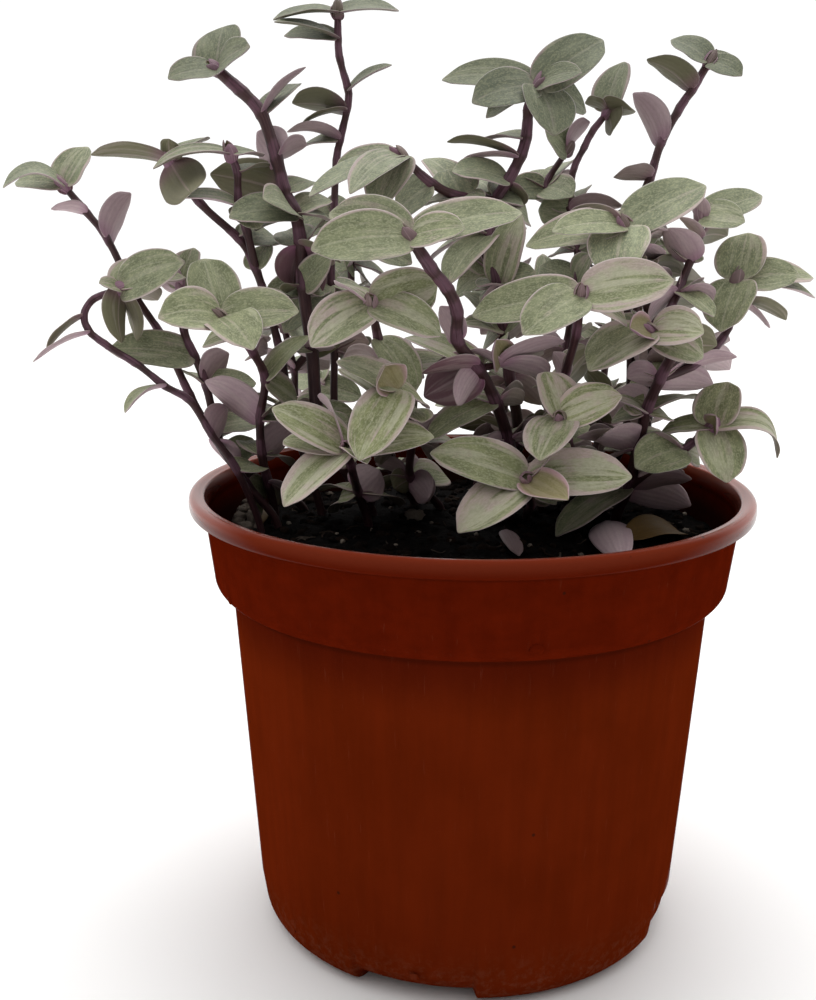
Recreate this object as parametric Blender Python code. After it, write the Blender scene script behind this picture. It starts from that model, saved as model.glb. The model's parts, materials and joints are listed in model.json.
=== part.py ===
"""Potted pink lady turtle vine: a tapered nursery pot, its soil, jointed stems and their pointed leaves.

Lengths are in millimetres and angles in degrees until a mesh is made, which MM turns into metres.
The pot's axis is x = y = 0 and the surface it stands on is z = 0. The last step parents everything to an
empty that brings the middle of the plant's spread over the origin.

The plant is described as a photograph shows it. A joint of a stem or the tip of a leaf is given by its
column and row in a picture 816 wide and 1000 high, and by how far behind the pot's axis it lies.
"""

from collections import namedtuple
from math import ceil, cos, pi, radians, sin
from random import Random

import bpy
from mathutils import Vector
from mathutils.bvhtree import BVHTree

MM = 0.001
GAP = 0.3

# Where the picture was taken from: the eye's place, its tilt and roll, and the lens in pixels.
EYE = Vector((-13.4, -273.0, 158.8))
TILT = radians(13.5)
ROLL = radians(0.23)
FOCAL = 1300.0
CENTRE_COL, CENTRE_ROW = 408.0, 500.0

# The pot.
RIM_Z = 96.8
RIM_R = 60.0
RIM_INNER_R = 56.7
LIP_DEEP = 3.6
COLLAR_TOP_R, COLLAR_FOOT_R = 56.8, 55.0
COLLAR_FOOT_Z = 75.8
COLLAR_ROUND = 3.5
SHOULDER_R = 51.2
BASE_R = 45.7
BASE_ROUND = 6.0
WALL = 1.0
FLOOR_Z = 2.0
FOOT_INNER_R = 33.0
FOOT_NOTCHES = 4
NOTCH_DEG = 33.0
FIRST_NOTCH_DEG = -106.0
NOTCH_HIGH = 1.9
DRAIN_HOLES = 6
DRAIN_R, DRAIN_RING_R = 3.5, 24.0
POT_SIDES = 32

# The soil.
SOIL_EDGE_Z, SOIL_TOP_Z = 86.0, 87.5
SOIL_CROWN_R = 40.0
PLANTED = 8.0
CLEAR_ABOVE_SOIL = 6.0

# Stems, buds and leaves.
STEM_SIDES = 5
STEM_STEP = 13.0
STEM_TAPER = 0.82
BUD_BELOW, BUD_ABOVE, BUD_R = 1.8, 2.2, 1.5
LEAF_STATIONS = (0.0, 0.14, 0.5, 0.82)
LEAF_FULL = 1.04
LEAF_LANES = (-1.0, 0.0, 1.0)
LEAF_THICK = 0.9
CLASP = 0.5
WIDE_RISE, WIDE_FALL = 0.5, 0.58
LEAF_ARCH, LEAF_CUP = 0.07, 22.0
GROWN_TOGETHER = 0.35
SPARE = 0.15
SWINGS = (0.0, 1.5, -1.5, 3.0, -3.0, 4.5, -4.5, 6.0, -6.0, 8.0, -8.0, 10.0, -10.0, 13.0, -13.0)
TWISTS = (0.0, 15.0, -15.0, 30.0, -30.0)

# The leaves that the picture hides, on the far side of the joints in the thick of the plant. The joints
# nearer to the eye than a depth have none: the picture shows those stems bare.
THICK_COLS, THICK_ROWS = (285, 700), (225, 455)
HIDDEN_SIDE, HIDDEN_RISE = (16, 46), (-20, 8)
HIDDEN_REACH, HIDDEN_WIDTH, HIDDEN_TURN = (8, 15), (8, 9.5), (60, 145)
HIDDEN_SEED = 11
NEAR_DEPTH, FAR_DEPTH = -15, 35

# The older leaves that crowd the foot of the stems, each at one of a shoot's lower joints.
LOW_COLS, LOW_ROWS = (250, 705), (385, 492)
LOW_SIDE, LOW_RISE = (16, 42), (-14, 30)
LOW_REACH, LOW_WIDTH, LOW_TURN = (-5, 9), (7.5, 9), (35, 125)
LOW_SEED = 3

# A leaf grows at a joint of its shoot, counted from the root. Its tip is at a column and row of the picture
# and reaches that many millimetres further from the eye than the joint. Its width is in millimetres, and
# turn is the angle between its upper face and the eye: 0 shows that face, 90 the edge, 180 the underside.
# A leaf's middle arches by a share of its length, and its sides cup up by an angle.
Leaf = namedtuple("Leaf", "joint col row reach width turn arch cup", defaults=(LEAF_ARCH, LEAF_CUP))

# A shoot starts at a place on the soil, or at a joint of another shoot, and runs through its own joints,
# each a column, a row and a depth. The last one holds its crown of leaves.
Shoot = namedtuple("Shoot", "name start joints leaves thick", defaults=(2.0,))

SHOOTS = [
    Shoot("far_left", (-42, 2),
          [(247, 484, 0), (216, 440, 2), (190, 395, 4), (163, 338, 6), (135, 295, 8), (108, 240, 9),
           (87, 213, 10), (64, 186, 11)],
          [Leaf(7, 3, 188, -4, 6.5, 68, 0.3), Leaf(7, 15, 183, 3, 6.5, 55), Leaf(7, 88, 147, 4, 9.5, 50),
           Leaf(6, 51, 209, -3, 7, 108), Leaf(5, 131, 193, 5, 9, 125), Leaf(4, 158, 300, 6, 7, 115)], 1.8),
    Shoot("left_low", (-45, -3),
          [(237, 470, -5), (212, 435, -6), (190, 401, -6), (165, 386, -6), (138, 365, -5), (108, 346, -4),
           (90, 332, -3), (84, 315, -2), (94, 299, -1), (120, 289, 0)],
          [Leaf(9, 141, 259, 3, 9, 50), Leaf(9, 185, 262, -6, 9.5, 60), Leaf(9, 186, 278, 5, 9, 70),
           Leaf(9, 121, 343, -5, 8, 125), Leaf(9, 137, 341, 2, 7, 115), Leaf(9, 99, 283, -3, 5, 60),
           Leaf(7, 46, 350, -2, 5, 100), Leaf(6, 33, 362, -4, 5, 62), Leaf(3, 125, 413, -5, 7, 80, 0.15)],
          1.6),
    Shoot("left_back", (-38, 18),
          [(232, 462, 8), (217, 430, 6), (206, 385, 5), (195, 357, 5), (184, 330, 6), (182, 290, 8)],
          [Leaf(5, 194, 248, 4, 9, 45), Leaf(5, 150, 272, 2, 9, 125), Leaf(3, 108, 350, -8, 9.5, 68),
           Leaf(2, 229, 353, 6, 9, 130), Leaf(2, 256, 383, 8, 7, 78), Leaf(1, 258, 424, 6, 9, 60),
           Leaf(0, 262, 446, 5, 8, 60)]),
    Shoot("left_round", (-43, 8),
          [(268, 482, 4), (262, 455, 2), (260, 420, 0), (265, 380, -4), (254, 354, -8), (238, 334, -12),
           (221, 318, -15)],
          [Leaf(6, 158, 318, -7, 10, 34, 0.18), Leaf(6, 253, 350, -12, 10, 30, 0.12),
           Leaf(6, 299, 312, -3, 10, 35), Leaf(6, 203, 259, 7, 11, 20, 0.05, 45),
           Leaf(3, 311, 336, 3, 8.5, 62), Leaf(2, 205, 381, 3, 9, 120), Leaf(1, 293, 428, 4, 9, 133)]),
    Shoot("left_olive", (-33, 12),
          [(292, 415, 8), (281, 355, 7), (266, 300, 6), (256, 270, 5), (241, 241, 6), (201, 204, 7),
           (170, 162, 8)],
          [Leaf(6, 91, 155, 0, 8, 112), Leaf(6, 191, 193, -9, 10, 160), Leaf(6, 210, 138, 6, 8, 80),
           Leaf(6, 169, 139, -3, 5, 150)]),
    Shoot("left_fork", ("left_olive", 3),
          [(247, 232, 4), (239, 205, 4), (237, 172, 4), (230, 154, 3)],
          [Leaf(3, 153, 169, -2, 8, 78, 0.12), Leaf(3, 263, 156, 5, 7, 80), Leaf(2, 269, 166, 6, 6, 84),
           Leaf(1, 175, 197, -3, 8, 74)], 1.8),
    Shoot("upper_left", (-22, 13),
          [(322, 425, 5), (312, 350, 5), (303, 285, 6), (301, 245, 6), (295, 213, 6), (285, 192, 7),
           (277, 160, 8), (262, 115, 10), (242, 92, 11), (217, 70, 12)],
          [Leaf(9, 224, 27, 8, 11, 35), Leaf(9, 168, 79, -4, 9, 61), Leaf(9, 250, 47, -5, 9, 64),
           Leaf(7, 306, 67, 2, 5.5, 102), Leaf(6, 257, 132, 6, 9, 136), Leaf(6, 307, 145, 5, 8, 115),
           Leaf(5, 210, 174, -4, 9.5, 145), Leaf(4, 229, 218, -5, 9, 78), Leaf(4, 263, 199, -10, 9, 66),
           Leaf(3, 292, 286, 3, 9, 138), Leaf(3, 323, 291, 6, 8, 140)], 3.0),
    Shoot("top", (-22, 23),
          [(338, 430, 12), (334, 350, 12), (331, 285, 13), (334, 215, 17), (336, 165, 20), (340, 140, 21),
           (347, 110, 22), (348, 90, 22), (340, 60, 23), (338, 38, 24), (338, 12, 25)],
          [Leaf(10, 399, 11, 3, 8, 76), Leaf(10, 273, 20, -3, 8, 81), Leaf(9, 274, 22, -5, 6, 66),
           Leaf(7, 392, 65, -3, 5, 75), Leaf(6, 292, 103, 3, 9, 122), Leaf(5, 287, 132, -2, 8, 104, 0.12),
           Leaf(2, 263, 297, -4, 9, 60), Leaf(2, 284, 333, -8, 9, 58)], 1.8),
    Shoot("upper_middle", (6, 20),
          [(517, 440, 8), (510, 380, 4), (503, 330, 1), (498, 285, 0), (490, 235, 2), (496, 200, 5),
           (508, 181, 6), (520, 158, 7), (526, 138, 8), (529, 108, 8), (537, 86, 8)],
          [Leaf(10, 603, 40, 6, 10, 25), Leaf(10, 472, 103, -5, 9.5, 39), Leaf(10, 442, 80, 7, 9.5, 55),
           Leaf(10, 582, 72, -4, 7, 58), Leaf(10, 554, 136, -7, 11.5, 26),
           Leaf(8, 484, 140, 6, 7, 82), Leaf(7, 447, 142, 6, 8, 70), Leaf(6, 452, 172, -3, 9, 60),
           Leaf(6, 519, 205, 5, 7, 115), Leaf(4, 450, 284, -12, 9.5, 50), Leaf(3, 522, 215, -3, 8, 55),
           Leaf(2, 463, 292, 5, 8, 60)], 2.6),
    Shoot("upper_cluster", ("upper_middle", 5),
          [(462, 197, 3), (433, 184, 0), (401, 156, -2)],
          [Leaf(2, 378, 208, -6, 10, 35), Leaf(2, 334, 174, -3, 8.5, 56), Leaf(2, 309, 197, -8, 7.5, 66),
           Leaf(2, 350, 194, -12, 7, 55), Leaf(1, 396, 214, 3, 9, 45), Leaf(0, 446, 170, 5, 9.5, 25),
           Leaf(0, 426, 159, 9, 8, 72)]),
    Shoot("centre", (9, 8),
          [(516, 480, 2), (508, 440, -4), (496, 402, -10), (478, 368, -16), (458, 342, -20), (457, 312, -23),
           (448, 290, -25), (431, 268, -27), (411, 238, -28)],
          [Leaf(8, 311, 250, -6, 10.5, 33), Leaf(8, 329, 214, 4, 10, 47), Leaf(8, 522, 213, 5, 9.5, 45),
           Leaf(8, 465, 228, -4, 8, 45), Leaf(4, 440, 306, -3, 6, 125),
           Leaf(3, 422, 373, -4, 9.5, 118, 0.02, 40), Leaf(3, 424, 397, 3, 10, 148),
           Leaf(3, 457, 405, -6, 5.5, 140), Leaf(2, 426, 441, -3, 8.5, 52)], 2.7),
    Shoot("middle_bud", ("centre", 3),
          [(500, 365, -14)],
          [Leaf(0, 565, 341, -2, 7.5, 112), Leaf(0, 548, 378, 6, 9, 130), Leaf(0, 507, 334, 5, 7, 70),
           Leaf(0, 468, 350, -2, 4, 110), Leaf(0, 496, 340, -4, 7, 45, 0.0, 50)], 1.6),
    Shoot("centre_left", (-12, 22),
          [(392, 470, 12), (389, 420, 2), (385, 375, -9), (378, 338, -17), (371, 304, -24)],
          [Leaf(4, 311, 347, -6, 10.5, 33), Leaf(4, 441, 336, -3, 9, 40), Leaf(4, 437, 284, 5, 10, 30),
           Leaf(4, 336, 284, 5, 9, 80), Leaf(3, 413, 395, -4, 10, 33), Leaf(2, 456, 362, 7, 10, 62)]),
    Shoot("front_left", (-22, 1),
          [(358, 492, -6), (351, 466, -22), (346, 449, -31)],
          [Leaf(2, 272, 408, 2, 10, 46), Leaf(2, 284, 507, -8, 10, 51), Leaf(2, 434, 437, 2, 10, 46),
           Leaf(2, 284, 440, 7, 9, 50), Leaf(2, 318, 396, 9, 8, 68), Leaf(2, 367, 464, -9, 4.5, 60)]),
    Shoot("front_cup", (-6, 16),
          [(411, 478, 4), (412, 440, -10), (405, 410, -22), (398, 390, -29)],
          [Leaf(3, 359, 461, -7, 10.5, 25), Leaf(3, 337, 361, 6, 9, 56), Leaf(2, 338, 369, 8, 8.5, 58),
           Leaf(3, 426, 407, 6, 7, 105), Leaf(3, 385, 366, -5, 8, 20, -0.25, 70)]),
    Shoot("front_middle", (13, 8),
          [(531, 505, -10), (529, 490, -22), (527, 480, -29)],
          [Leaf(2, 458, 533, -8, 10.5, 36), Leaf(2, 632, 477, -2, 10.5, 33), Leaf(2, 430, 453, 3, 10.5, 36),
           Leaf(2, 466, 510, 5, 9, 60), Leaf(2, 554, 457, 9, 8, 105),
           Leaf(2, 568, 500, -12, 8, 32, 0.0, 50)]),
    Shoot("middle_right", (22, 10),
          [(575, 470, -4), (568, 440, -16), (560, 419, -25)],
          [Leaf(2, 540, 461, -10, 10, 28), Leaf(2, 622, 396, -2, 9.5, 38),
           Leaf(2, 545, 372, 6, 10, 35, 0.05, 50)]),
    Shoot("right_centre", (17, 16),
          [(549, 478, 6), (556, 425, -4), (564, 380, -12), (576, 335, -20), (581, 295, -26)],
          [Leaf(4, 674, 281, -3, 10.5, 28), Leaf(4, 472, 316, 3, 10, 37), Leaf(4, 523, 335, -8, 10, 32),
           Leaf(4, 626, 322, 8, 9, 60), Leaf(2, 590, 350, 6, 8, 120)]),
    Shoot("right_round", (34, 12),
          [(641, 455, 6), (652, 385, 0), (650, 330, -4), (641, 275, -8), (632, 245, -12), (625, 226, -14)],
          [Leaf(5, 706, 186, 3, 10, 33), Leaf(5, 616, 279, -9, 11.5, 12), Leaf(5, 552, 232, -4, 7.5, 52),
           Leaf(5, 526, 246, 8, 10, 50), Leaf(5, 566, 221, 7, 8, 100),
           Leaf(5, 664, 230, 6, 8, 70)]),
    Shoot("top_right", (29, 22),
          [(624, 440, 15), (631, 350, 13), (625, 290, 13), (632, 225, 15), (650, 178, 16), (661, 143, 17),
           (678, 111, 18), (692, 90, 19), (709, 62, 20)],
          [Leaf(8, 671, 40, 4, 8.5, 58), Leaf(8, 742, 66, 3, 7, 64), Leaf(8, 742, 76, -3, 6, 75),
           Leaf(7, 647, 59, -2, 9, 122), Leaf(5, 633, 93, 3, 9, 130), Leaf(4, 615, 176, -3, 8, 115)], 2.1),
    Shoot("back_tall", (16, 36),
          [(560, 440, 30), (566, 350, 24), (577, 283, 22), (577, 250, 24), (571, 212, 27), (573, 172, 30),
           (584, 148, 32), (592, 132, 33), (608, 112, 34)],
          [Leaf(8, 624, 62, 5, 9.5, 42), Leaf(8, 632, 109, -4, 9, 120), Leaf(8, 613, 130, -3, 8, 125),
           Leaf(8, 585, 103, 2, 8, 105), Leaf(4, 623, 206, -5, 8.5, 118)], 1.7),
    Shoot("back_green", ("back_tall", 4),
          [(546, 188, 31), (567, 150, 33)],
          [Leaf(1, 545, 128, -4, 9, 45), Leaf(1, 590, 122, 3, 8, 110)], 1.6),
    Shoot("right_middle", (33, 8),
          [(628, 488, 0), (638, 448, -5), (646, 412, -9), (660, 379, -13), (672, 350, -17), (651, 332, -20)],
          [Leaf(5, 589, 371, -4, 12.5, 20), Leaf(5, 704, 333, -4, 11, 48), Leaf(5, 703, 358, -1, 9, 62),
           Leaf(5, 630, 328, -6, 7, 40, 0.0, 60), Leaf(4, 717, 345, 3, 9.5, 135),
           Leaf(3, 713, 384, 4, 7, 120), Leaf(3, 627, 378, 5, 8, 130), Leaf(2, 612, 421, 5, 7, 60),
           Leaf(2, 616, 392, 6, 8, 130),
           Leaf(1, 577, 437, -3, 8, 115), Leaf(0, 692, 479, -4, 7, 112), Leaf(0, 556, 537, -3, 10, 55),
           Leaf(0, 691, 506, 4, 8, 125)], 2.6),
    Shoot("right_pink", ("right_middle", 4),
          [(668, 318, -12), (678, 292, -8), (690, 262, -4), (699, 238, -2), (700, 217, -1)],
          [Leaf(4, 745, 222, -3, 9, 50), Leaf(4, 762, 196, 5, 7, 62), Leaf(4, 698, 196, -2, 4, 150),
           Leaf(3, 680, 217, -2, 5, 130), Leaf(2, 669, 228, -3, 8.5, 140), Leaf(1, 702, 281, 5, 5, 82),
           Leaf(1, 713, 300, 3, 8, 112), Leaf(1, 714, 317, -6, 6, 60), Leaf(1, 647, 323, -6, 5, 122)], 1.8),
    Shoot("right_cluster", ("right_middle", 3),
          [(692, 366, -10), (716, 346, -7), (728, 328, -4), (735, 300, -1), (738, 280, 0)],
          [Leaf(4, 721, 332, -8, 10.5, 22), Leaf(4, 799, 275, -2, 8.5, 40), Leaf(4, 748, 233, 5, 10.5, 22),
           Leaf(4, 813, 278, 6, 8.5, 52), Leaf(4, 815, 298, 2, 8, 55), Leaf(3, 786, 320, 5, 8, 108),
           Leaf(0, 737, 357, 3, 6, 100)], 1.8),
    Shoot("right_low", ("right_middle", 0),
          [(655, 467, -6), (684, 449, -9), (713, 427, -7)],
          [Leaf(2, 727, 483, -7, 10.5, 27), Leaf(2, 728, 382, 5, 10, 25), Leaf(2, 777, 458, 2, 7.5, 60, 0.36),
           Leaf(2, 660, 434, 5, 9, 68), Leaf(2, 716, 416, -6, 5, 45, 0.0, 60), Leaf(1, 635, 468, -5, 10, 30)],
          1.8),
    Shoot("back_left", (-24, 34),
          [(302, 415, 40), (294, 370, 41), (284, 326, 38)],
          [Leaf(2, 262, 318, 8, 9, 60), Leaf(2, 306, 338, 10, 9, 50), Leaf(2, 283, 302, 12, 9, 40),
           Leaf(2, 266, 338, 13, 9, 100)]),
    Shoot("back_left_low", ("back_left", 0),
          [(320, 385, 58)],
          [Leaf(0, 287, 382, 8, 9, 50), Leaf(0, 352, 386, 9, 9, 60), Leaf(0, 322, 402, 12, 9, 100),
           Leaf(0, 320, 368, 10, 9, 40)]),
    Shoot("back_left_top", ("back_left", 1),
          [(345, 305, 40), (352, 262, 41), (362, 238, 42)],
          [Leaf(2, 335, 238, 9, 9, 60), Leaf(2, 392, 242, 9, 9, 55), Leaf(2, 362, 224, 12, 9, 40),
           Leaf(2, 362, 258, 13, 9, 110)]),
    Shoot("back_middle", (4, 44),
          [(502, 425, 46), (504, 375, 48), (505, 320, 50), (490, 270, 48), (478, 234, 46)],
          [Leaf(4, 450, 228, 9, 9, 60), Leaf(4, 508, 224, 9, 9, 55), Leaf(4, 480, 246, 13, 9, 105),
           Leaf(4, 478, 220, 12, 9, 40)]),
    Shoot("back_middle_low", ("back_middle", 0),
          [(470, 405, 60)],
          [Leaf(0, 438, 402, 8, 9, 55), Leaf(0, 502, 404, 8, 9, 60), Leaf(0, 472, 422, 11, 9, 110),
           Leaf(0, 470, 388, 11, 9, 40)]),
    Shoot("back_middle_side", ("back_middle", 2),
          [(545, 306, 54)],
          [Leaf(0, 518, 310, 9, 9, 60), Leaf(0, 572, 304, 9, 9, 55), Leaf(0, 545, 324, 13, 9, 105),
           Leaf(0, 548, 292, 12, 9, 40)]),
    Shoot("back_right", (30, 38),
          [(602, 425, 42), (602, 395, 44), (608, 350, 46), (622, 290, 44)],
          [Leaf(3, 592, 288, 9, 9, 52), Leaf(3, 654, 288, 9, 9, 55), Leaf(3, 622, 306, 13, 9, 105),
           Leaf(3, 622, 270, 12, 9, 40)]),
    Shoot("back_right_low", ("back_right", 0),
          [(588, 402, 60)],
          [Leaf(0, 556, 404, 8, 9, 55), Leaf(0, 620, 400, 8, 9, 60), Leaf(0, 588, 420, 11, 9, 110),
           Leaf(0, 588, 386, 11, 9, 40)]),
    Shoot("back_right_top", ("back_right", 2),
          [(640, 300, 50), (640, 245, 48), (655, 206, 48)],
          [Leaf(2, 630, 208, 9, 9, 60), Leaf(2, 688, 198, 9, 9, 55), Leaf(2, 655, 222, 13, 9, 105),
           Leaf(2, 662, 192, 12, 9, 40)]),
]


def sight(col, row, depth):
    """The point that the picture shows at a column and row, at a depth behind the pot's axis."""
    across = (col - CENTRE_COL) / FOCAL
    above = (CENTRE_ROW - row) / FOCAL
    level = across * cos(ROLL) - above * sin(ROLL)
    raised = across * sin(ROLL) + above * cos(ROLL)
    ray = Vector((level, cos(TILT) + raised * sin(TILT), raised * cos(TILT) - sin(TILT)))
    return EYE + ray * ((depth - EYE.y) / ray.y)


def hidden_leaves():
    """Leaves on the far side of the joints in the thick of the plant: left and right by turns, or both."""
    chance = Random(HIDDEN_SEED)
    for shoot in SHOOTS:
        for n, (col, row, depth) in enumerate(shoot.joints[:-1]):
            if not (THICK_COLS[0] < col < THICK_COLS[1] and THICK_ROWS[0] < row < THICK_ROWS[1]):
                continue
            turn_about = 1 if n % 2 else -1
            for side in (turn_about, -turn_about) if depth > FAR_DEPTH else (turn_about,):
                leaf = Leaf(n, col + side * chance.uniform(*HIDDEN_SIDE), row + chance.uniform(*HIDDEN_RISE),
                            chance.uniform(*HIDDEN_REACH), chance.uniform(*HIDDEN_WIDTH),
                            chance.uniform(*HIDDEN_TURN))
                if depth > NEAR_DEPTH:
                    yield shoot.name, leaf


def low_leaves():
    """Older leaves at the joints near the soil, left and right by turns."""
    chance = Random(LOW_SEED)
    for shoot in SHOOTS:
        for n, (col, row, _) in enumerate(shoot.joints[:-1]):
            if not (LOW_COLS[0] < col < LOW_COLS[1] and LOW_ROWS[0] < row < LOW_ROWS[1]):
                continue
            side = -1 if n % 2 else 1
            yield shoot.name, Leaf(n, col + side * chance.uniform(*LOW_SIDE), row + chance.uniform(*LOW_RISE),
                                   chance.uniform(*LOW_REACH), chance.uniform(*LOW_WIDTH),
                                   chance.uniform(*LOW_TURN))


def smooth_path(points, step):
    """Points about `step` apart along a smooth curve through the given ones."""
    ends = [points[0] * 2 - points[1], *points, points[-1] * 2 - points[-2]]
    path = []
    for before, here, there, after in zip(ends, ends[1:], ends[2:], ends[3:]):
        count = max(1, ceil((there - here).length / step))
        for n in range(count):
            t = n / count
            path.append(0.5 * (2 * here + (there - before) * t
                               + (2 * before - 5 * here + 4 * there - after) * t * t
                               + (3 * here - before - 3 * there + after) * t ** 3))
    return [*path, points[-1]]


def shell(rings, cap_start=True, cap_end=True):
    """Faces between rings of vertex numbers; a ring of one number is a point."""
    faces = []
    for low, high in zip(rings, rings[1:]):
        size = max(len(low), len(high))
        for n in range(size):
            m = (n + 1) % size
            if len(low) == 1:
                faces.append((low[0], high[m], high[n]))
            elif len(high) == 1:
                faces.append((low[n], low[m], high[0]))
            else:
                faces.append((low[n], low[m], high[m], high[n]))
    if cap_start and len(rings[0]) > 2:
        faces.append(tuple(reversed(rings[0])))
    if cap_end and len(rings[-1]) > 2:
        faces.append(tuple(rings[-1]))
    return faces


def tube(path, radii, sides=STEM_SIDES):
    """A closed round bar along a path, with a radius at each of its points."""
    verts, rings = [], []
    across = None
    for n, (point, radius) in enumerate(zip(path, radii)):
        along = (path[min(n + 1, len(path) - 1)] - path[max(n - 1, 0)]).normalized()
        if across is None:
            across = along.orthogonal()
        across = (across - along * across.dot(along)).normalized()
        other = along.cross(across)
        rings.append(range(len(verts), len(verts) + sides))
        for k in range(sides):
            angle = 2 * pi * k / sides
            verts.append(point + (across * cos(angle) + other * sin(angle)) * radius)
    return verts, shell(rings)


def turned(profile, sides):
    """A solid of revolution about the z axis, from a profile that starts and ends on it."""
    verts, rings = [], []
    for radius, height in profile:
        count = sides if radius > 0 else 1
        rings.append(range(len(verts), len(verts) + count))
        for k in range(count):
            angle = 2 * pi * k / count
            verts.append(Vector((radius * cos(angle), radius * sin(angle), height)))
    return verts, shell(rings, cap_start=False, cap_end=False)


def upper_face(base, tip, turn):
    """The way that a leaf's upper face looks; of the two ways with that turn, the one that looks up."""
    along = (tip - base).normalized()
    towards = EYE - (base + tip) / 2
    facing = (towards - along * towards.dot(along)).normalized()
    side = along.cross(facing)
    swing = radians(abs(turn))
    ways = [facing * cos(swing) + side * (sin(swing) * hand) for hand in (1, -1)]
    ways.sort(key=lambda way: way.z)
    return ways[1] if turn >= 0 else ways[0]


def half_width(width, t):
    """Half a leaf's width at a share of its length: round at the clasping base, acute at the tip."""
    widest = WIDE_RISE / (WIDE_RISE + WIDE_FALL)
    full = widest ** WIDE_RISE * (1 - widest) ** WIDE_FALL
    return 0.5 * width * t ** WIDE_RISE * (1 - t) ** WIDE_FALL / full + CLASP * (1 - t) ** 6


def blade(base, tip, face, leaf, thick, spare=0.0, start=0.0):
    """A leaf, or what is left of it beyond a share of its length: rings of points, then its tip.

    It is a little full at each ring, so that its straight sides keep near the real one's round outline.
    """
    along = tip - base
    length = along.length
    along = along / length
    side = along.cross(face).normalized()
    up = side.cross(along)
    cup = max(radians(leaf.cup), 0.01)
    verts, rings = [], []
    for t in (start, *(station for station in LEAF_STATIONS if station > start)):
        centre = base + along * (length * t) + up * (leaf.arch * length * 4 * t * (1 - t))
        normal = (up - along * (leaf.arch * 4 * (1 - 2 * t))).normalized()
        half = half_width(leaf.width, t) * LEAF_FULL + spare
        upper, lower = [], []
        for lane in LEAF_LANES:
            bend = lane * cup
            middle = centre + (side * sin(bend) + normal * (1 - cos(bend))) * (half / cup)
            swell = (normal * cos(bend) - side * sin(bend)) * ((thick / 2 + spare) * (1 - lane * lane))
            upper.append(middle + swell)
            lower.append(middle - swell)
        ring = lower + upper[-2:0:-1]
        rings.append(range(len(verts), len(verts) + len(ring)))
        verts.extend(ring)
    rings.append([len(verts)])
    verts.append(tip)
    return verts, shell(rings)


def tree(body):
    """A search tree of a body's faces, to tell whether it cuts another."""
    return BVHTree.FromPolygons(body[0], body[1])


class Grown:
    """One shoot in space: its joints, its stem's path, and the leaves that found room."""

    def __init__(self, shoot, stock):
        self.shoot = shoot
        self.joints = [sight(*joint) for joint in shoot.joints]
        radius = shoot.thick / 2
        if isinstance(shoot.start[0], str):
            self.family = stock[shoot.start[0]].family
            start = [stock[shoot.start[0]].joints[shoot.start[1]]]
        else:
            self.family = shoot.name
            x, y = shoot.start
            start = [Vector((x, y, SOIL_EDGE_Z - PLANTED)), Vector((x, y, SOIL_TOP_Z))]
        rise = (self.joints[-1] - [*start, *self.joints][-2]).normalized()
        self.bud = (self.joints[-1] - rise * BUD_BELOW, self.joints[-1] + rise * BUD_ABOVE)
        self.path = smooth_path([*start, *self.joints[:-1], self.bud[0] - rise * GAP], STEM_STEP)
        last = len(self.path) - 1
        self.radii = [radius * (1 - (1 - STEM_TAPER) * n / last) for n in range(last + 1)]
        self.crown_leaves = []
        self.side_leaves = []

    def stem(self, spare=0.0):
        return tube(self.path, [radius + spare for radius in self.radii])

    def bud_body(self, spare=0.0):
        heights = (0.0, 0.4, 1.0)
        girths = (0.75, 1.0, 0.4)
        path = [self.bud[0].lerp(self.bud[1], height) for height in heights]
        return tube(path, [BUD_R * girth + spare for girth in girths])


def grow():
    """Every shoot, and the leaves that have no room at all.

    A leaf that would cut through a stem, a bud or another leaf swings nearer or further along the line of
    sight, or twists a little, until it is clear.
    """
    stock = {}
    for shoot in SHOOTS:
        stock[shoot.name] = Grown(shoot, stock)
    barriers = [("pot", tree(pot_body()), False), ("soil", tree(soil_body()), False)]
    for name, shoot in stock.items():
        barriers.append(("stem_" + shoot.family, tree(shoot.stem(SPARE)), True))
        barriers.append(("leaves_" + name, tree(shoot.bud_body(SPARE)), False))
    crowded = []
    listed = [(shoot.name, leaf) for shoot in SHOOTS for leaf in shoot.leaves]
    for name, leaf in [*listed, *low_leaves(), *hidden_leaves()]:
        shoot = stock[name]
        in_crown = leaf.joint == len(shoot.joints) - 1
        node = "leaves_" + name if in_crown else "stem_" + shoot.family
        found = settle(shoot, leaf, node, barriers)
        if found is None:
            crowded.append((name, leaf))
            continue
        base, tip, face = found
        body = blade(base, tip, face, leaf, LEAF_THICK)
        (shoot.crown_leaves if in_crown else shoot.side_leaves).append(body)
        outer = blade(base, tip, face, leaf, LEAF_THICK, start=GROWN_TOGETHER)
        barriers.append((node, tree(body), tree(outer)))
    return stock, crowded


def settle(shoot, leaf, node, barriers):
    """The first swing and twist of a leaf that clears everything: its base, tip and upper face."""
    base = shoot.joints[leaf.joint]
    depth = shoot.shoot.joints[leaf.joint][2] + leaf.reach
    for swing in SWINGS:
        tip = sight(leaf.col, leaf.row, depth + swing)
        for twist in TWISTS:
            face = upper_face(base, tip, leaf.turn + twist)
            whole = tree(blade(base, tip, face, leaf, LEAF_THICK, SPARE))
            outer = tree(blade(base, tip, face, leaf, LEAF_THICK, SPARE, start=GROWN_TOGETHER))
            if not any(cuts(whole, outer, node, barrier) for barrier in barriers):
                return base, tip, face
    return None


def cuts(whole, outer, node, barrier):
    """Whether a leaf cuts a barrier. Where both grow as one, only the parts beyond the base count."""
    owner, body, kind = barrier
    if owner != node:
        return bool(whole.overlap(body))
    if kind is True:
        return bool(outer.overlap(body))
    return bool(kind and outer.overlap(kind))


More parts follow.
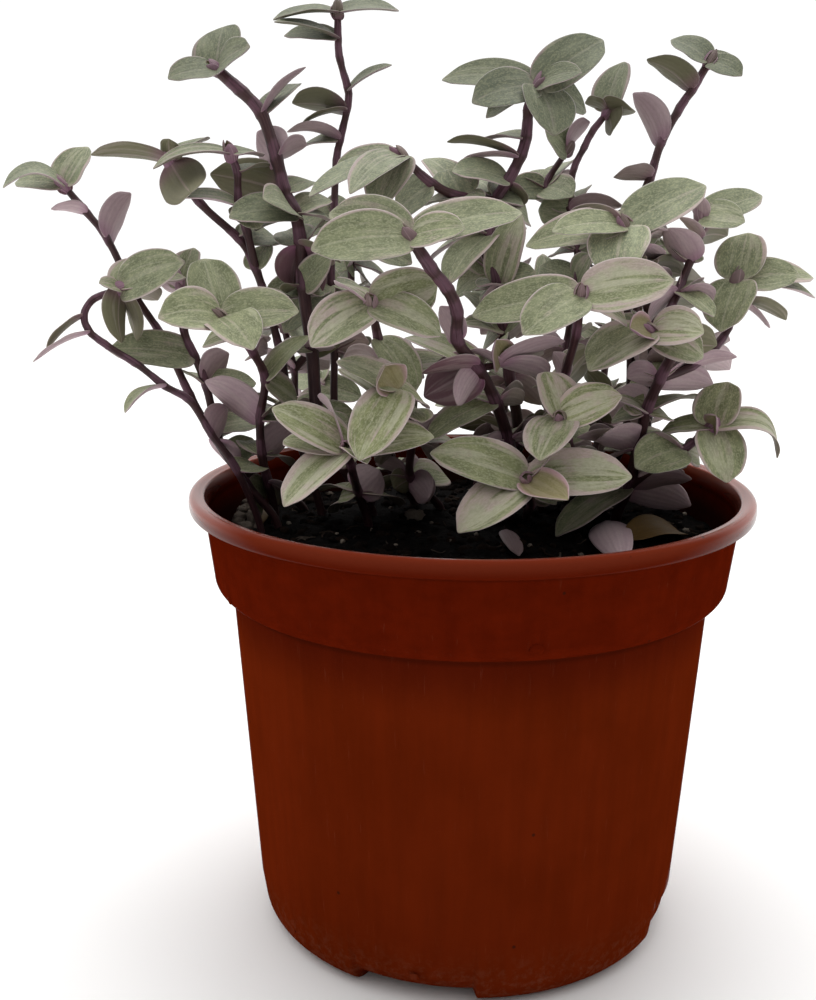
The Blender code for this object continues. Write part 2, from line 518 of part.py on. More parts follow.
def material(name, colour, roughness):
    made = bpy.data.materials.new(name)
    made.use_nodes = True
    shader = made.node_tree.nodes["Principled BSDF"]
    shader.inputs["Base Color"].default_value = (*colour, 1.0)
    shader.inputs["Roughness"].default_value = roughness
    shader.inputs["Metallic"].default_value = 0.0
    return made


def solid(name, body, finish=None):
    """An object from vertices in millimetres and their faces."""
    verts, faces = body
    mesh = bpy.data.meshes.new(name)
    mesh.from_pydata([vert * MM for vert in verts], [], faces)
    mesh.update()
    if finish:
        mesh.materials.append(finish)
    made = bpy.data.objects.new(name, mesh)
    bpy.context.scene.collection.objects.link(made)
    return made


def combined(name, first, others, finish, operation):
    """One body from the first and the others, which join it or are cut from it."""
    body = solid(name, first, finish)
    pieces = bpy.data.collections.new(name + "_pieces")
    bpy.context.scene.collection.children.link(pieces)
    for n, other in enumerate(others):
        piece = solid(f"{name}_piece_{n}", other)
        bpy.context.scene.collection.objects.unlink(piece)
        pieces.objects.link(piece)
        piece.hide_render = True
        piece.display_type = "WIRE"
    change = body.modifiers.new("combine", "BOOLEAN")
    change.operation = operation
    change.operand_type = "COLLECTION"
    change.collection = pieces
    change.solver = "EXACT"
    apply_to(body)
    for piece in list(pieces.objects):
        bpy.data.objects.remove(piece)
    bpy.data.collections.remove(pieces)
    return body


def apply_to(body):
    """Keep the shape that an object's modifiers give."""
    seen = body.evaluated_get(bpy.context.evaluated_depsgraph_get())
    mesh = bpy.data.meshes.new_from_object(seen)
    body.modifiers.clear()
    body.data = mesh


def arc(centre_r, centre_z, radius, start, end, steps):
    """Profile points on a round corner, from one angle to another."""
    angles = [radians(start + (end - start) * n / steps) for n in range(steps + 1)]
    return [(centre_r + radius * cos(angle), centre_z + radius * sin(angle)) for angle in angles]


def wall_r(z):
    """The outer radius of the tapered wall below the collar."""
    return BASE_R + (SHOULDER_R - BASE_R) * z / COLLAR_FOOT_Z


def inside_profile(spare, top):
    """The pot's inner side from its top down to the floor, `spare` further in, as radius and height."""
    return [
        (collar_r(top) - WALL - spare, top),
        (COLLAR_FOOT_R - WALL - spare, COLLAR_FOOT_Z + COLLAR_ROUND + 0.5),
        (SHOULDER_R - WALL - spare, COLLAR_FOOT_Z - 0.5),
        (wall_r(BASE_ROUND) - WALL - spare, BASE_ROUND + spare),
        (wall_r(0) - BASE_ROUND + 1.0 - spare, FLOOR_Z + WALL + spare),
        (0.0, FLOOR_Z + WALL + spare),
    ]


def collar_r(z):
    """The outer radius of the collar."""
    foot_z = COLLAR_FOOT_Z + COLLAR_ROUND
    return COLLAR_FOOT_R + (COLLAR_TOP_R - COLLAR_FOOT_R) * (z - foot_z) / (RIM_Z - LIP_DEEP - foot_z)


def pot_body():
    """The pot before its foot is notched and its floor drilled."""
    lip_z = RIM_Z - LIP_DEEP
    outside = [
        (0.0, FLOOR_Z),
        (FOOT_INNER_R, FLOOR_Z),
        (FOOT_INNER_R + 0.6, 0.0),
        *arc(wall_r(0) - BASE_ROUND, BASE_ROUND, BASE_ROUND, -90, -5, 3),
        (SHOULDER_R, COLLAR_FOOT_Z),
        *arc(COLLAR_FOOT_R - COLLAR_ROUND, COLLAR_FOOT_Z + COLLAR_ROUND, COLLAR_ROUND, -75, 0, 2),
        (COLLAR_TOP_R, lip_z),
        (RIM_R - 0.7, lip_z),
        (RIM_R, lip_z + 1.2),
        (RIM_R - 0.3, RIM_Z - 0.8),
        (RIM_R - 1.4, RIM_Z),
        (RIM_INNER_R, RIM_Z - 0.6),
    ]
    return turned(outside + inside_profile(0.0, lip_z - 1.0), POT_SIDES)


def soil_body():
    """Soil that fills the pot, clear of its wall and a little higher in the middle."""
    profile = [*inside_profile(GAP, SOIL_EDGE_Z)[::-1], (SOIL_CROWN_R, SOIL_TOP_Z), (0.0, SOIL_TOP_Z)]
    return turned(profile, POT_SIDES)


def make_pot(finish):
    cutters = []
    for n in range(FOOT_NOTCHES):
        middle = radians(FIRST_NOTCH_DEG + 360.0 * n / FOOT_NOTCHES)
        cutters.append(notch(middle, radians(NOTCH_DEG)))
    for n in range(DRAIN_HOLES):
        angle = 2 * pi * n / DRAIN_HOLES
        foot = Vector((DRAIN_RING_R * cos(angle), DRAIN_RING_R * sin(angle), -1.0))
        cutters.append(tube([foot, foot + Vector((0, 0, 3 * WALL + FLOOR_Z))], [DRAIN_R] * 2, 12))
    return combined("pot", pot_body(), cutters, finish, "DIFFERENCE")


def notch(middle, spread):
    """A wedge that clears the foot ring between two feet."""
    inner, outer = FOOT_INNER_R - 2.0, BASE_R + 4.0
    steps = 4
    rings, verts = [], []
    for n in range(steps + 1):
        angle = middle + spread * (n / steps - 0.5)
        rings.append(range(len(verts), len(verts) + 4))
        for radius, height in ((inner, -1.0), (outer, -1.0), (outer, NOTCH_HIGH), (inner, NOTCH_HIGH)):
            verts.append(Vector((radius * cos(angle), radius * sin(angle), height)))
    return verts, shell([tuple(reversed(ring)) for ring in rings])


def make_soil(stock, finish):
    """The soil with a hole for each stem that is planted in it."""
    holes = []
    for shoot in stock.values():
        if shoot.family != shoot.shoot.name:
            continue
        count = next(n for n, point in enumerate(shoot.path) if point.z > SOIL_TOP_Z + CLEAR_ABOVE_SOIL) + 1
        path = [point.copy() for point in shoot.path[:count]]
        path[0].z -= GAP
        holes.append(tube(path, [radius + GAP for radius in shoot.radii[:count]]))
    return combined("soil", soil_body(), holes, finish, "DIFFERENCE")


def make_plant(stock, stem_finish, leaf_finish):
    """One node for each family of stems with their older leaves, and one for each crown."""
    made = []
    for name, shoot in stock.items():
        made.append(combined("leaves_" + name, shoot.bud_body(), shoot.crown_leaves, leaf_finish, "UNION"))
        if shoot.family != name:
            continue
        parts = []
        for member in stock.values():
            if member.family == name:
                parts += [member.stem(), *member.side_leaves]
        made.append(combined("stem_" + name, parts[0], parts[1:], stem_finish, "UNION"))
    return made


def finish_off(nodes):
    """Smooth shading, and the middle of the plant's spread over the origin."""
    corners = []
    for node in nodes:
        node.data.shade_smooth()
        node.data.set_sharp_from_angle(angle=radians(40))
        corners += [vert.co for vert in node.data.vertices]
    middle = Vector([(min(c[k] for c in corners) + max(c[k] for c in corners)) / 2 for k in range(3)])
    whole = bpy.data.objects.new("potted_plant", None)
    bpy.context.scene.collection.objects.link(whole)
    whole.location = (-middle.x, -middle.y, 0.0)
    for node in nodes:
        node.parent = whole


def main():
    for old in list(bpy.data.objects):
        bpy.data.objects.remove(old)
    terracotta = material("terracotta_plastic", (0.16, 0.035, 0.018), 0.42)
    peat = material("peat", (0.012, 0.009, 0.008), 0.95)
    maroon = material("maroon_stem", (0.07, 0.022, 0.028), 0.5)
    striped = material("striped_leaf", (0.27, 0.32, 0.21), 0.45)
    stock, crowded = grow()
    nodes = [make_pot(terracotta), make_soil(stock, peat), *make_plant(stock, maroon, striped)]
    finish_off(nodes)
    return stock, crowded


if __name__ == "__main__":
    main()
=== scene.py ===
"""Potted pink lady turtle vine: jointed maroon stems and striped, pointed leaves in a tapered nursery pot.

Lengths are in millimetres from the pot's axis at the height of the surface it stands on, until a mesh is
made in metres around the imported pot. The plant is described as its photograph shows it: a joint of a stem
or the tip of a leaf has a column and a row in a picture 816 wide and 1000 high, and a depth behind the
pot's axis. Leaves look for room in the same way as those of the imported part, so each is where it is there.
"""

import json
from collections import namedtuple
from functools import cache
from math import ceil, cos, hypot, pi, radians, sin, sqrt
from random import Random

import bmesh
import bpy
import numpy as np
from mathutils import Matrix, Vector, noise
from mathutils.bvhtree import BVHTree

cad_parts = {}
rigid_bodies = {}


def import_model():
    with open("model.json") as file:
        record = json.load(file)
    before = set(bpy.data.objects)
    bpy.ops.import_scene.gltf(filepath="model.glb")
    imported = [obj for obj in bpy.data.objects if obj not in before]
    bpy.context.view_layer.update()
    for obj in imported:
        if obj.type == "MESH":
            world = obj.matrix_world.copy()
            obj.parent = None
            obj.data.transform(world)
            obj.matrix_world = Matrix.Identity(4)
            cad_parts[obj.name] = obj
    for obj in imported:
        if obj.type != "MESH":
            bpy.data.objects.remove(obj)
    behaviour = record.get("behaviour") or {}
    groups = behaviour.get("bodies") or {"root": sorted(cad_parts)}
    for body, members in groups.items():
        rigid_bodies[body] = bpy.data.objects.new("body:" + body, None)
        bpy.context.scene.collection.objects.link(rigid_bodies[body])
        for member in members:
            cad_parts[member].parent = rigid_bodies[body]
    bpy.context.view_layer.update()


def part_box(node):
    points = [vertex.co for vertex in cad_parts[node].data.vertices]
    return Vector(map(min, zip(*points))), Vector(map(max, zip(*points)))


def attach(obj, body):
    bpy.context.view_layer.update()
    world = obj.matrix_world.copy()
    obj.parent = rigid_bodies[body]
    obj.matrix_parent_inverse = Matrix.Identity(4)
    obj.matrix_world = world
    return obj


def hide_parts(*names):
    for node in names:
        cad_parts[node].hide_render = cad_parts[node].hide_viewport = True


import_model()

MM = 0.001
GAP = 0.3

# Where the picture was taken from: the eye's place, its tilt and roll, and the lens in pixels.
EYE = Vector((-13.4, -273.0, 158.8))
TILT = radians(13.5)
ROLL = radians(0.23)
FOCAL = 1300.0
CENTRE_COL, CENTRE_ROW = 408.0, 500.0
PICTURE_HIGH = 1000.0
SENSOR = 36.0

# The pot.
RIM_Z = 96.8
RIM_R = 60.0
RIM_INNER_R = 56.7
LIP_DEEP = 3.6
COLLAR_TOP_R, COLLAR_FOOT_R = 56.8, 55.0
COLLAR_FOOT_Z = 75.8
COLLAR_ROUND = 3.5
SHOULDER_R = 51.2
BASE_R = 45.7
BASE_ROUND = 6.0
WALL = 1.0
FLOOR_Z = 2.0
FOOT_INNER_R = 33.0
FOOT_NOTCHES = 4
NOTCH_DEG = 33.0
FIRST_NOTCH_DEG = -106.0
NOTCH_HIGH = 1.7
DRAIN_HOLES = 6
DRAIN_R, DRAIN_RING_R = 3.5, 24.0
ROUGH_POT_SIDES = 32

# The soil.
SOIL_EDGE_Z, SOIL_TOP_Z = 86.0, 87.5
SOIL_CROWN_R = 40.0
PLANTED = 8.0

# Stems, buds and leaves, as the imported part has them.
STEM_SIDES = 5
STEM_STEP = 13.0
STEM_TAPER = 0.82
BUD_BELOW, BUD_ABOVE, BUD_R = 1.8, 2.2, 1.5
LEAF_STATIONS = (0.0, 0.14, 0.5, 0.82)
LEAF_FULL = 1.04
LEAF_LANES = (-1.0, 0.0, 1.0)
LEAF_THICK = 0.9
CLASP = 0.5
WIDE_RISE, WIDE_FALL = 0.5, 0.58
LEAF_ARCH, LEAF_CUP = 0.07, 22.0
GROWN_TOGETHER = 0.35
SPARE = 0.15
SWINGS = (0.0, 1.5, -1.5, 3.0, -3.0, 4.5, -4.5, 6.0, -6.0, 8.0, -8.0, 10.0, -10.0, 13.0, -13.0)
TWISTS = (0.0, 15.0, -15.0, 30.0, -30.0)

# The leaves that the picture hides, on the far side of the joints in the thick of the plant. The joints
# nearer to the eye than a depth have none: the picture shows those stems bare.
THICK_COLS, THICK_ROWS = (285, 700), (225, 455)
HIDDEN_SIDE, HIDDEN_RISE = (16, 46), (-20, 8)
HIDDEN_REACH, HIDDEN_WIDTH, HIDDEN_TURN = (8, 15), (8, 9.5), (60, 145)
HIDDEN_SEED = 11
NEAR_DEPTH, FAR_DEPTH = -15, 35

# The older leaves that crowd the foot of the stems, each at one of a shoot's lower joints.
LOW_COLS, LOW_ROWS = (250, 705), (385, 492)
LOW_SIDE, LOW_RISE = (16, 42), (-14, 30)
LOW_REACH, LOW_WIDTH, LOW_TURN = (-5, 9), (7.5, 9), (35, 125)
LOW_SEED = 3

# Smaller leaves, which the solid model leaves out: more at each joint in the thick of the plant, with a
# number of tries for each range of columns. Above HIGH_ROW they show their upper faces, and most of those
# below it their undersides. At a joint nearer to the eye than the pot's axis they reach back by a share of
# that. The shoots in OPEN_BESIDE get none, because the picture shows gaps beside them.
MORE_ROWS = (185, 500)
MORE_TRIES = ((205, 285, 1), (285, 345, 3), (345, 450, 7), (450, 705, 6))
MORE_SIDE, MORE_RISE = (8, 42), (-30, 26)
MORE_REACH, MORE_WIDTH = (3, 13), (5.5, 8.5)
MORE_TURN_HIGH, MORE_TURN_LOW, HIGH_ROW = (20, 95), (55, 150), 300
MORE_BEHIND = 0.8
MORE_SEED = 8
OPEN_BESIDE = ("right_pink",)

# A leaf grows at a joint of its shoot, counted from the root. Its tip is at a column and row of the picture
# and reaches that many millimetres further from the eye than the joint. Its width is in millimetres, and
# turn is the angle between its upper face and the eye: 0 shows that face, 90 the edge, 180 the underside.
# A leaf's middle arches by a share of its length, and its sides cup up by an angle.
Leaf = namedtuple("Leaf", "joint col row reach width turn arch cup", defaults=(LEAF_ARCH, LEAF_CUP))

# A shoot starts at a place on the soil, or at a joint of another shoot, and runs through its own joints,
# each a column, a row and a depth. The last one holds its crown of leaves.
Shoot = namedtuple("Shoot", "name start joints leaves thick", defaults=(2.0,))

SHOOTS = [
    Shoot("far_left", (-42, 2),
          [(247, 484, 0), (216, 440, 2), (190, 395, 4), (163, 338, 6), (135, 295, 8), (108, 240, 9),
           (87, 213, 10), (64, 186, 11)],
          [Leaf(7, 3, 188, -4, 6.5, 68, 0.3), Leaf(7, 15, 183, 3, 6.5, 55), Leaf(7, 88, 147, 4, 9.5, 50),
           Leaf(6, 51, 209, -3, 7, 108), Leaf(5, 131, 193, 5, 9, 125), Leaf(4, 158, 300, 6, 7, 115)], 1.8),
    Shoot("left_low", (-45, -3),
          [(237, 470, -5), (212, 435, -6), (190, 401, -6), (165, 386, -6), (138, 365, -5), (108, 346, -4),
           (90, 332, -3), (84, 315, -2), (94, 299, -1), (120, 289, 0)],
          [Leaf(9, 141, 259, 3, 9, 50), Leaf(9, 185, 262, -6, 9.5, 60), Leaf(9, 186, 278, 5, 9, 70),
           Leaf(9, 121, 343, -5, 8, 125), Leaf(9, 137, 341, 2, 7, 115), Leaf(9, 99, 283, -3, 5, 60),
           Leaf(7, 46, 350, -2, 5, 100), Leaf(6, 33, 362, -4, 5, 62), Leaf(3, 125, 413, -5, 7, 80, 0.15)],
          1.6),
    Shoot("left_back", (-38, 18),
          [(232, 462, 8), (217, 430, 6), (206, 385, 5), (195, 357, 5), (184, 330, 6), (182, 290, 8)],
          [Leaf(5, 194, 248, 4, 9, 45), Leaf(5, 150, 272, 2, 9, 125), Leaf(3, 108, 350, -8, 9.5, 68),
           Leaf(2, 229, 353, 6, 9, 130), Leaf(2, 256, 383, 8, 7, 78), Leaf(1, 258, 424, 6, 9, 60),
           Leaf(0, 262, 446, 5, 8, 60)]),
    Shoot("left_round", (-43, 8),
          [(268, 482, 4), (262, 455, 2), (260, 420, 0), (265, 380, -4), (254, 354, -8), (238, 334, -12),
           (221, 318, -15)],
          [Leaf(6, 158, 318, -7, 10, 34, 0.18), Leaf(6, 253, 350, -12, 10, 30, 0.12),
           Leaf(6, 299, 312, -3, 10, 35), Leaf(6, 203, 259, 7, 11, 20, 0.05, 45),
           Leaf(3, 311, 336, 3, 8.5, 62), Leaf(2, 205, 381, 3, 9, 120), Leaf(1, 293, 428, 4, 9, 133)]),
    Shoot("left_olive", (-33, 12),
          [(292, 415, 8), (281, 355, 7), (266, 300, 6), (256, 270, 5), (241, 241, 6), (201, 204, 7),
           (170, 162, 8)],
          [Leaf(6, 91, 155, 0, 8, 112), Leaf(6, 191, 193, -9, 10, 160), Leaf(6, 210, 138, 6, 8, 80),
           Leaf(6, 169, 139, -3, 5, 150)]),
    Shoot("left_fork", ("left_olive", 3),
          [(247, 232, 4), (239, 205, 4), (237, 172, 4), (230, 154, 3)],
          [Leaf(3, 153, 169, -2, 8, 78, 0.12), Leaf(3, 263, 156, 5, 7, 80), Leaf(2, 269, 166, 6, 6, 84),
           Leaf(1, 175, 197, -3, 8, 74)], 1.8),
    Shoot("upper_left", (-22, 13),
          [(322, 425, 5), (312, 350, 5), (303, 285, 6), (301, 245, 6), (295, 213, 6), (285, 192, 7),
           (277, 160, 8), (262, 115, 10), (242, 92, 11), (217, 70, 12)],
          [Leaf(9, 224, 27, 8, 11, 35), Leaf(9, 168, 79, -4, 9, 61), Leaf(9, 250, 47, -5, 9, 64),
           Leaf(7, 306, 67, 2, 5.5, 102), Leaf(6, 257, 132, 6, 9, 136), Leaf(6, 307, 145, 5, 8, 115),
           Leaf(5, 210, 174, -4, 9.5, 145), Leaf(4, 229, 218, -5, 9, 78), Leaf(4, 263, 199, -10, 9, 66),
           Leaf(3, 292, 286, 3, 9, 138), Leaf(3, 323, 291, 6, 8, 140)], 3.0),
    Shoot("top", (-22, 23),
          [(338, 430, 12), (334, 350, 12), (331, 285, 13), (334, 215, 17), (336, 165, 20), (340, 140, 21),
           (347, 110, 22), (348, 90, 22), (340, 60, 23), (338, 38, 24), (338, 12, 25)],
          [Leaf(10, 399, 11, 3, 8, 76), Leaf(10, 273, 20, -3, 8, 81), Leaf(9, 274, 22, -5, 6, 66),
           Leaf(7, 392, 65, -3, 5, 75), Leaf(6, 292, 103, 3, 9, 122), Leaf(5, 287, 132, -2, 8, 104, 0.12),
           Leaf(2, 263, 297, -4, 9, 60), Leaf(2, 284, 333, -8, 9, 58)], 1.8),
    Shoot("upper_middle", (6, 20),
          [(517, 440, 8), (510, 380, 4), (503, 330, 1), (498, 285, 0), (490, 235, 2), (496, 200, 5),
           (508, 181, 6), (520, 158, 7), (526, 138, 8), (529, 108, 8), (537, 86, 8)],
          [Leaf(10, 603, 40, 6, 10, 25), Leaf(10, 472, 103, -5, 9.5, 39), Leaf(10, 442, 80, 7, 9.5, 55),
           Leaf(10, 582, 72, -4, 7, 58), Leaf(10, 554, 136, -7, 11.5, 26),
           Leaf(8, 484, 140, 6, 7, 82), Leaf(7, 447, 142, 6, 8, 70), Leaf(6, 452, 172, -3, 9, 60),
           Leaf(6, 519, 205, 5, 7, 115), Leaf(4, 450, 284, -12, 9.5, 50), Leaf(3, 522, 215, -3, 8, 55),
           Leaf(2, 463, 292, 5, 8, 60)], 2.6),
    Shoot("upper_cluster", ("upper_middle", 5),
          [(462, 197, 3), (433, 184, 0), (401, 156, -2)],
          [Leaf(2, 378, 208, -6, 10, 35), Leaf(2, 334, 174, -3, 8.5, 56), Leaf(2, 309, 197, -8, 7.5, 66),
           Leaf(2, 350, 194, -12, 7, 55), Leaf(1, 396, 214, 3, 9, 45), Leaf(0, 446, 170, 5, 9.5, 25),
           Leaf(0, 426, 159, 9, 8, 72)]),
    Shoot("centre", (9, 8),
          [(516, 480, 2), (508, 440, -4), (496, 402, -10), (478, 368, -16), (458, 342, -20), (457, 312, -23),
           (448, 290, -25), (431, 268, -27), (411, 238, -28)],
          [Leaf(8, 311, 250, -6, 10.5, 33), Leaf(8, 329, 214, 4, 10, 47), Leaf(8, 522, 213, 5, 9.5, 45),
           Leaf(8, 465, 228, -4, 8, 45), Leaf(4, 440, 306, -3, 6, 125),
           Leaf(3, 422, 373, -4, 9.5, 118, 0.02, 40), Leaf(3, 424, 397, 3, 10, 148),
           Leaf(3, 457, 405, -6, 5.5, 140), Leaf(2, 426, 441, -3, 8.5, 52)], 2.7),
    Shoot("middle_bud", ("centre", 3),
          [(500, 365, -14)],
          [Leaf(0, 565, 341, -2, 7.5, 112), Leaf(0, 548, 378, 6, 9, 130), Leaf(0, 507, 334, 5, 7, 70),
           Leaf(0, 468, 350, -2, 4, 110), Leaf(0, 496, 340, -4, 7, 45, 0.0, 50)], 1.6),
    Shoot("centre_left", (-12, 22),
          [(392, 470, 12), (389, 420, 2), (385, 375, -9), (378, 338, -17), (371, 304, -24)],
          [Leaf(4, 311, 347, -6, 10.5, 33), Leaf(4, 441, 336, -3, 9, 40), Leaf(4, 437, 284, 5, 10, 30),
           Leaf(4, 336, 284, 5, 9, 80), Leaf(3, 413, 395, -4, 10, 33), Leaf(2, 456, 362, 7, 10, 62)]),
    Shoot("front_left", (-22, 1),
          [(358, 492, -6), (351, 466, -22), (346, 449, -31)],
          [Leaf(2, 272, 408, 2, 10, 46), Leaf(2, 284, 507, -8, 10, 51), Leaf(2, 434, 437, 2, 10, 46),
           Leaf(2, 284, 440, 7, 9, 50), Leaf(2, 318, 396, 9, 8, 68), Leaf(2, 367, 464, -9, 4.5, 60)]),
    Shoot("front_cup", (-6, 16),
          [(411, 478, 4), (412, 440, -10), (405, 410, -22), (398, 390, -29)],
          [Leaf(3, 359, 461, -7, 10.5, 25), Leaf(3, 337, 361, 6, 9, 56), Leaf(2, 338, 369, 8, 8.5, 58),
           Leaf(3, 426, 407, 6, 7, 105), Leaf(3, 385, 366, -5, 8, 20, -0.25, 70)]),
    Shoot("front_middle", (13, 8),
          [(531, 505, -10), (529, 490, -22), (527, 480, -29)],
          [Leaf(2, 458, 533, -8, 10.5, 36), Leaf(2, 632, 477, -2, 10.5, 33), Leaf(2, 430, 453, 3, 10.5, 36),
           Leaf(2, 466, 510, 5, 9, 60), Leaf(2, 554, 457, 9, 8, 105),
           Leaf(2, 568, 500, -12, 8, 32, 0.0, 50)]),
    Shoot("middle_right", (22, 10),
          [(575, 470, -4), (568, 440, -16), (560, 419, -25)],
          [Leaf(2, 540, 461, -10, 10, 28), Leaf(2, 622, 396, -2, 9.5, 38),
           Leaf(2, 545, 372, 6, 10, 35, 0.05, 50)]),
    Shoot("right_centre", (17, 16),
          [(549, 478, 6), (556, 425, -4), (564, 380, -12), (576, 335, -20), (581, 295, -26)],
          [Leaf(4, 674, 281, -3, 10.5, 28), Leaf(4, 472, 316, 3, 10, 37), Leaf(4, 523, 335, -8, 10, 32),
           Leaf(4, 626, 322, 8, 9, 60), Leaf(2, 590, 350, 6, 8, 120)]),
    Shoot("right_round", (34, 12),
          [(641, 455, 6), (652, 385, 0), (650, 330, -4), (641, 275, -8), (632, 245, -12), (625, 226, -14)],
          [Leaf(5, 706, 186, 3, 10, 33), Leaf(5, 616, 279, -9, 11.5, 12), Leaf(5, 552, 232, -4, 7.5, 52),
           Leaf(5, 526, 246, 8, 10, 50), Leaf(5, 566, 221, 7, 8, 100),
           Leaf(5, 664, 230, 6, 8, 70)]),
    Shoot("top_right", (29, 22),
          [(624, 440, 15), (631, 350, 13), (625, 290, 13), (632, 225, 15), (650, 178, 16), (661, 143, 17),
           (678, 111, 18), (692, 90, 19), (709, 62, 20)],
          [Leaf(8, 671, 40, 4, 8.5, 58), Leaf(8, 742, 66, 3, 7, 64), Leaf(8, 742, 76, -3, 6, 75),
           Leaf(7, 647, 59, -2, 9, 122), Leaf(5, 633, 93, 3, 9, 130), Leaf(4, 615, 176, -3, 8, 115)], 2.1),
    Shoot("back_tall", (16, 36),
          [(560, 440, 30), (566, 350, 24), (577, 283, 22), (577, 250, 24), (571, 212, 27), (573, 172, 30),
           (584, 148, 32), (592, 132, 33), (608, 112, 34)],
          [Leaf(8, 624, 62, 5, 9.5, 42), Leaf(8, 632, 109, -4, 9, 120), Leaf(8, 613, 130, -3, 8, 125),
           Leaf(8, 585, 103, 2, 8, 105), Leaf(4, 623, 206, -5, 8.5, 118)], 1.7),
    Shoot("back_green", ("back_tall", 4),
          [(546, 188, 31), (567, 150, 33)],
          [Leaf(1, 545, 128, -4, 9, 45), Leaf(1, 590, 122, 3, 8, 110)], 1.6),
    Shoot("right_middle", (33, 8),
          [(628, 488, 0), (638, 448, -5), (646, 412, -9), (660, 379, -13), (672, 350, -17), (651, 332, -20)],
          [Leaf(5, 589, 371, -4, 12.5, 20), Leaf(5, 704, 333, -4, 11, 48), Leaf(5, 703, 358, -1, 9, 62),
           Leaf(5, 630, 328, -6, 7, 40, 0.0, 60), Leaf(4, 717, 345, 3, 9.5, 135),
           Leaf(3, 713, 384, 4, 7, 120), Leaf(3, 627, 378, 5, 8, 130), Leaf(2, 612, 421, 5, 7, 60),
           Leaf(2, 616, 392, 6, 8, 130),
           Leaf(1, 577, 437, -3, 8, 115), Leaf(0, 692, 479, -4, 7, 112), Leaf(0, 556, 537, -3, 10, 55),
           Leaf(0, 691, 506, 4, 8, 125)], 2.6),
    Shoot("right_pink", ("right_middle", 4),
          [(668, 318, -12), (678, 292, -8), (690, 262, -4), (699, 238, -2), (700, 217, -1)],
          [Leaf(4, 745, 222, -3, 9, 50), Leaf(4, 762, 196, 5, 7, 62), Leaf(4, 698, 196, -2, 4, 150),
           Leaf(3, 680, 217, -2, 5, 130), Leaf(2, 669, 228, -3, 8.5, 140), Leaf(1, 702, 281, 5, 5, 82),
           Leaf(1, 713, 300, 3, 8, 112), Leaf(1, 714, 317, -6, 6, 60), Leaf(1, 647, 323, -6, 5, 122)], 1.8),
    Shoot("right_cluster", ("right_middle", 3),
          [(692, 366, -10), (716, 346, -7), (728, 328, -4), (735, 300, -1), (738, 280, 0)],
          [Leaf(4, 721, 332, -8, 10.5, 22), Leaf(4, 799, 275, -2, 8.5, 40), Leaf(4, 748, 233, 5, 10.5, 22),
           Leaf(4, 813, 278, 6, 8.5, 52), Leaf(4, 815, 298, 2, 8, 55), Leaf(3, 786, 320, 5, 8, 108),
           Leaf(0, 737, 357, 3, 6, 100)], 1.8),
    Shoot("right_low", ("right_middle", 0),
          [(655, 467, -6), (684, 449, -9), (713, 427, -7)],
          [Leaf(2, 727, 483, -7, 10.5, 27), Leaf(2, 728, 382, 5, 10, 25),
           Leaf(2, 777, 458, 2, 7.5, 60, 0.36), Leaf(2, 660, 434, 5, 9, 68),
           Leaf(2, 716, 416, -6, 5, 45, 0.0, 60), Leaf(1, 635, 468, -5, 10, 30)], 1.8),
    Shoot("back_left", (-24, 34),
          [(302, 415, 40), (294, 370, 41), (284, 326, 38)],
          [Leaf(2, 262, 318, 8, 9, 60), Leaf(2, 306, 338, 10, 9, 50), Leaf(2, 283, 302, 12, 9, 40),
           Leaf(2, 266, 338, 13, 9, 100)]),
    Shoot("back_left_low", ("back_left", 0),
          [(320, 385, 58)],
          [Leaf(0, 287, 382, 8, 9, 50), Leaf(0, 352, 386, 9, 9, 60), Leaf(0, 322, 402, 12, 9, 100),
           Leaf(0, 320, 368, 10, 9, 40)]),
    Shoot("back_left_top", ("back_left", 1),
          [(345, 305, 40), (352, 262, 41), (362, 238, 42)],
          [Leaf(2, 335, 238, 9, 9, 60), Leaf(2, 392, 242, 9, 9, 55), Leaf(2, 362, 224, 12, 9, 40),
           Leaf(2, 362, 258, 13, 9, 110)]),
    Shoot("back_middle", (4, 44),
          [(502, 425, 46), (504, 375, 48), (505, 320, 50), (490, 270, 48), (478, 234, 46)],
          [Leaf(4, 450, 228, 9, 9, 60), Leaf(4, 508, 224, 9, 9, 55), Leaf(4, 480, 246, 13, 9, 105),
           Leaf(4, 478, 220, 12, 9, 40)]),
    Shoot("back_middle_low", ("back_middle", 0),
          [(470, 405, 60)],
          [Leaf(0, 438, 402, 8, 9, 55), Leaf(0, 502, 404, 8, 9, 60), Leaf(0, 472, 422, 11, 9, 110),
           Leaf(0, 470, 388, 11, 9, 40)]),
    Shoot("back_middle_side", ("back_middle", 2),
          [(545, 306, 54)],
          [Leaf(0, 518, 310, 9, 9, 60), Leaf(0, 572, 304, 9, 9, 55), Leaf(0, 545, 324, 13, 9, 105),
           Leaf(0, 548, 292, 12, 9, 40)]),
    Shoot("back_right", (30, 38),
          [(602, 425, 42), (602, 395, 44), (608, 350, 46), (622, 290, 44)],
          [Leaf(3, 592, 288, 9, 9, 52), Leaf(3, 654, 288, 9, 9, 55), Leaf(3, 622, 306, 13, 9, 105),
           Leaf(3, 622, 270, 12, 9, 40)]),
    Shoot("back_right_low", ("back_right", 0),
          [(588, 402, 60)],
          [Leaf(0, 556, 404, 8, 9, 55), Leaf(0, 620, 400, 8, 9, 60), Leaf(0, 588, 420, 11, 9, 110),
           Leaf(0, 588, 386, 11, 9, 40)]),
    Shoot("back_right_top", ("back_right", 2),
          [(640, 300, 50), (640, 245, 48), (655, 206, 48)],
          [Leaf(2, 630, 208, 9, 9, 60), Leaf(2, 688, 198, 9, 9, 55), Leaf(2, 655, 222, 13, 9, 105),
           Leaf(2, 662, 192, 12, 9, 40)]),
]

